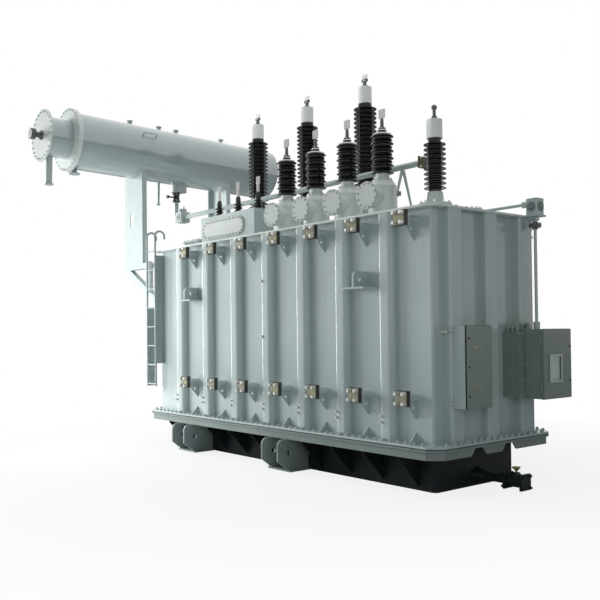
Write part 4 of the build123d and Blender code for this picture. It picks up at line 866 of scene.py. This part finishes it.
# Conservator posts, wall brackets and breather: bent plate and bar, welded and bolted to the far end wall.
# The breather is a drying cartridge between cast caps, drawn together by three tie rods.
coat(grey_enamel, "wall_brackets", "conservator_posts")
coat(pale_enamel, "breather")
breather_foot = Vector((-3.225, -1.023, 2.640))
tie_count, tie_ring, tie_length = 3, 0.056, 0.350
breather_rods = bmesh.new()
for k in range(tie_count):
    angle = math.radians(30) + 2 * math.pi * k / tie_count
    foot = breather_foot + tie_ring * Vector((math.cos(angle), math.sin(angle), 0))
    stack(
        breather_rods, foot, up,
        (0.0, tie_length, 0.006, 0.006, 10),
        (0.0, 0.012, 0.011, 0.011, 6),
        (tie_length - 0.016, tie_length, 0.011, 0.011, 6),
    )
finished("breather_rods", breather_rods, zinc)


# Main oil pipe, shut-off valve, gas relay and supports: steel pipe with welded flanges, a cast relay with a sight
# glass on each side, and bent-bar trestles on the cover. Hexagon bolts close the flanges.
coat(grey_enamel, "main_oil_pipe", "gas_relay", "pipe_supports")
coat(oiled_iron, "pipe_valve")
olive_paint = sprayed_paint(
    "olive_paint", (0.105, 0.105, 0.050), (0.085, 0.086, 0.044), (0.15, 0.145, 0.09), 0.4, gloss=0.3
)
coat(olive_paint, "pipe_blind_flange")
relay = Vector((-3.835, 0, 3.980))
relay_half, relay_side, relay_cock_shift = 0.100, 0.095, 0.045
pipe_plate, pipe_bolts = 0.018, 0.059
pipe_spots = []
for way in (right, left):
    pipe_spots += ring(relay + (relay_half + pipe_plate) * way, way, pipe_bolts, 6)
blind_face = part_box("pipe_blind_flange")[1].x
blind_bolt_offset = 0.058
pipe_spots += [
    (Vector((blind_face, sy * blind_bolt_offset, relay.z + sz * blind_bolt_offset)), right)
    for sy in (-1, 1) for sz in (-1, 1)
]
valve_low, valve_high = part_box("pipe_valve")
valve_x, valve_bolts = -4.055, 0.063
pipe_spots += ring((valve_x, 0, valve_low.z + pipe_plate), up, valve_bolts, 6)
pipe_spots += ring((valve_x, 0, valve_high.z - pipe_plate), down, valve_bolts, 6)
finished("pipe_bolts", repeated(bolt(0.018, 0.020), pipe_spots), zinc)

sight_rims, sight_panes = bmesh.new(), bmesh.new()
for side in (-1, 1):
    outward = Vector((0, side, 0))
    sight_face = relay + relay_side * outward
    stack(sight_rims, sight_face, outward, (-0.001, 0.014, 0.062, 0.058, 28))
    stack(sight_panes, sight_face, outward, (0.010, 0.0165, 0.040, 0.038, 28))
relay_cock = Vector((relay.x + relay_cock_shift, 0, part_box("gas_relay")[1].z))
stack(sight_rims, relay_cock, up, (-0.002, 0.030, 0.016, 0.016, 6), (0.030, 0.052, 0.010, 0.010, 12))
finished("relay_sight_rims", sight_rims, pale_enamel)
finished("relay_sight_panes", sight_panes, dark_case)


# Ladder: steel bar and plate, welded, with hooked rails that hang on the cover's edge.
# It has the tank's paint laid on darker, a painted shade.
# The tank's paint laid on darker: painted shade on the ladder's rails and plates.
ladder_shade_paint = sprayed_paint(
    "ladder_shade_paint", (0.290, 0.340, 0.345), (0.260, 0.308, 0.312), (0.22, 0.245, 0.24), 0.3, gloss=0.4
)
coat(ladder_shade_paint, "ladder")


# Floor: a pale ground that takes the object's shadow and runs out to white.
# In glossy paint it shows as the grey that it is, so the paint mirrors a horizon.
def rays_from(tree, *sources):
    """Whether a ray comes from the camera or from one of the other sources."""
    path = tree.nodes.new("ShaderNodeLightPath")
    total = path.outputs["Is Camera Ray"]
    for name in sources:
        either = tree.nodes.new("ShaderNodeMath")
        either.operation = "MAXIMUM"
        tree.links.new(total, either.inputs[0])
        tree.links.new(path.outputs[name], either.inputs[1])
        total = either.outputs[0]
    return total


floor_form = bmesh.new()
bmesh.ops.create_grid(floor_form, x_segments=1, y_segments=1, size=60.0)
floor_mesh = bpy.data.meshes.new("floor")
floor_form.to_mesh(floor_mesh)
floor_form.free()
floor = bpy.data.objects.new("floor", floor_mesh)
bpy.context.scene.collection.objects.link(floor)
ground, ground_tree, ground_shader = new_finish("pale_ground")
ground_shader.inputs["Base Color"].default_value = (0.55, 0.56, 0.57, 1.0)
ground_shader.inputs["Roughness"].default_value = 0.9
ground_glow = ground_tree.nodes.new("ShaderNodeEmission")
ground_place = ground_tree.nodes.new("ShaderNodeTexCoord")
ground_reach = ground_tree.nodes.new("ShaderNodeVectorMath")
ground_reach.operation = "LENGTH"
ground_tree.links.new(ground_place.outputs["Object"], ground_reach.inputs[0])
ground_fade = between(ground_tree, ground_reach.outputs["Value"], 3.0, 7.5, 0.84, 1.0)
ground_share = ground_tree.nodes.new("ShaderNodeMath")
ground_share.operation = "MULTIPLY"
ground_tree.links.new(ground_fade, ground_share.inputs[0])
ground_tree.links.new(rays_from(ground_tree, "Is Transmission Ray"), ground_share.inputs[1])
ground_mix = ground_tree.nodes.new("ShaderNodeMixShader")
ground_tree.links.new(ground_share.outputs[0], ground_mix.inputs[0])
ground_tree.links.new(ground_shader.outputs[0], ground_mix.inputs[1])
ground_tree.links.new(ground_glow.outputs[0], ground_mix.inputs[2])
ground_tree.links.new(ground_mix.outputs[0], ground_tree.nodes["Material Output"].inputs["Surface"])
floor_mesh.materials.append(ground)


# Studio light: a dim even room with white walls, a wide soft lamp and a tall bright strip to the left of the
# viewer, a weak lamp at the far end of the long wall, another on the cabinet end and a wide soft one overhead.
room = bpy.data.worlds.new("room")
bpy.context.scene.world = room
room.use_nodes = True
room_tree = room.node_tree
room_fill = room_tree.nodes["Background"]
room_fill.inputs["Color"].default_value = (0.89, 0.98, 1.0, 1.0)
room_fill.inputs["Strength"].default_value = 0.25
room_white = room_tree.nodes.new("ShaderNodeBackground")
room_white.inputs["Color"].default_value = (1.0, 1.0, 1.0, 1.0)
room_mix = room_tree.nodes.new("ShaderNodeMixShader")
room_tree.links.new(rays_from(room_tree, "Is Glossy Ray", "Is Transmission Ray"), room_mix.inputs[0])
room_tree.links.new(room_fill.outputs[0], room_mix.inputs[1])
room_tree.links.new(room_white.outputs[0], room_mix.inputs[2])
room_tree.links.new(room_mix.outputs[0], room_tree.nodes["World Output"].inputs["Surface"])


def soft_lamp(name, point, target, width, height, power, colour=(1.0, 1.0, 1.0), mirrored=False):
    """A rectangular lamp that lights from a point towards a target, and shows in gloss only if mirrored."""
    light = bpy.data.lights.new(name, "AREA")
    light.shape = "RECTANGLE"
    light.size, light.size_y, light.energy, light.color = width, height, power, colour
    lamp = bpy.data.objects.new(name, light)
    lamp.location = point
    lamp.rotation_euler = (Vector(target) - Vector(point)).to_track_quat("-Z", "Y").to_euler()
    lamp.visible_glossy = mirrored
    bpy.context.scene.collection.objects.link(lamp)


soft_lamp("side_lamp", (-14.0, -6.5, 5.5), (-1.0, -1.0, 2.0), 6.0, 5.0, 2150.0, (1.0, 1.0, 0.97))
soft_lamp("strip_lamp", (-14.0, -2.8, 3.0), (0.0, -1.0, 2.0), 4.4, 7.0, 860.0, mirrored=True)
soft_lamp("far_lamp", (-3.6, -3.4, 1.8), (-1.8, -0.955, 1.8), 2.0, 3.0, 85.0)
soft_lamp("end_lamp", (9.0, -7.0, 3.5), (2.9, -0.6, 2.0), 3.0, 4.0, 120.0, (0.95, 1.0, 0.94))
soft_lamp("roof_lamp", (-0.5, 0.0, 10.0), (-0.5, 0.0, 0.0), 10.0, 8.0, 420.0)


# Viewpoint: a camera with a long lens off the corner between the long wall and the cabinet end, at about half
# the tank's height. It is tilted up a little and rolled by less than a degree.
viewpoint = Vector((8.674, -7.552, 1.835))
yaw, pitch, roll = math.radians(50.43), math.radians(0.917), math.radians(-0.641)
view_lens = 47.03
view_shift = 0.0333
forward = Vector((-math.sin(yaw) * math.cos(pitch), math.cos(yaw) * math.cos(pitch), math.sin(pitch)))
level_right = Vector((math.cos(yaw), math.sin(yaw), 0))
level_up = level_right.cross(forward)
view_right = math.cos(roll) * level_right + math.sin(roll) * level_up
view_up = -math.sin(roll) * level_right + math.cos(roll) * level_up
camera_turn = Matrix((view_right, view_up, -forward)).transposed().to_4x4()
camera_lens = bpy.data.cameras.new("camera")
camera_lens.sensor_width = 36.0
camera_lens.sensor_fit = "HORIZONTAL"
camera_lens.lens = view_lens
camera_lens.shift_y = view_shift
camera = bpy.data.objects.new("camera", camera_lens)
camera.matrix_world = Matrix.Translation(viewpoint) @ camera_turn
bpy.context.scene.collection.objects.link(camera)
bpy.context.scene.camera = camera
bpy.context.scene.view_settings.view_transform = "Standard"
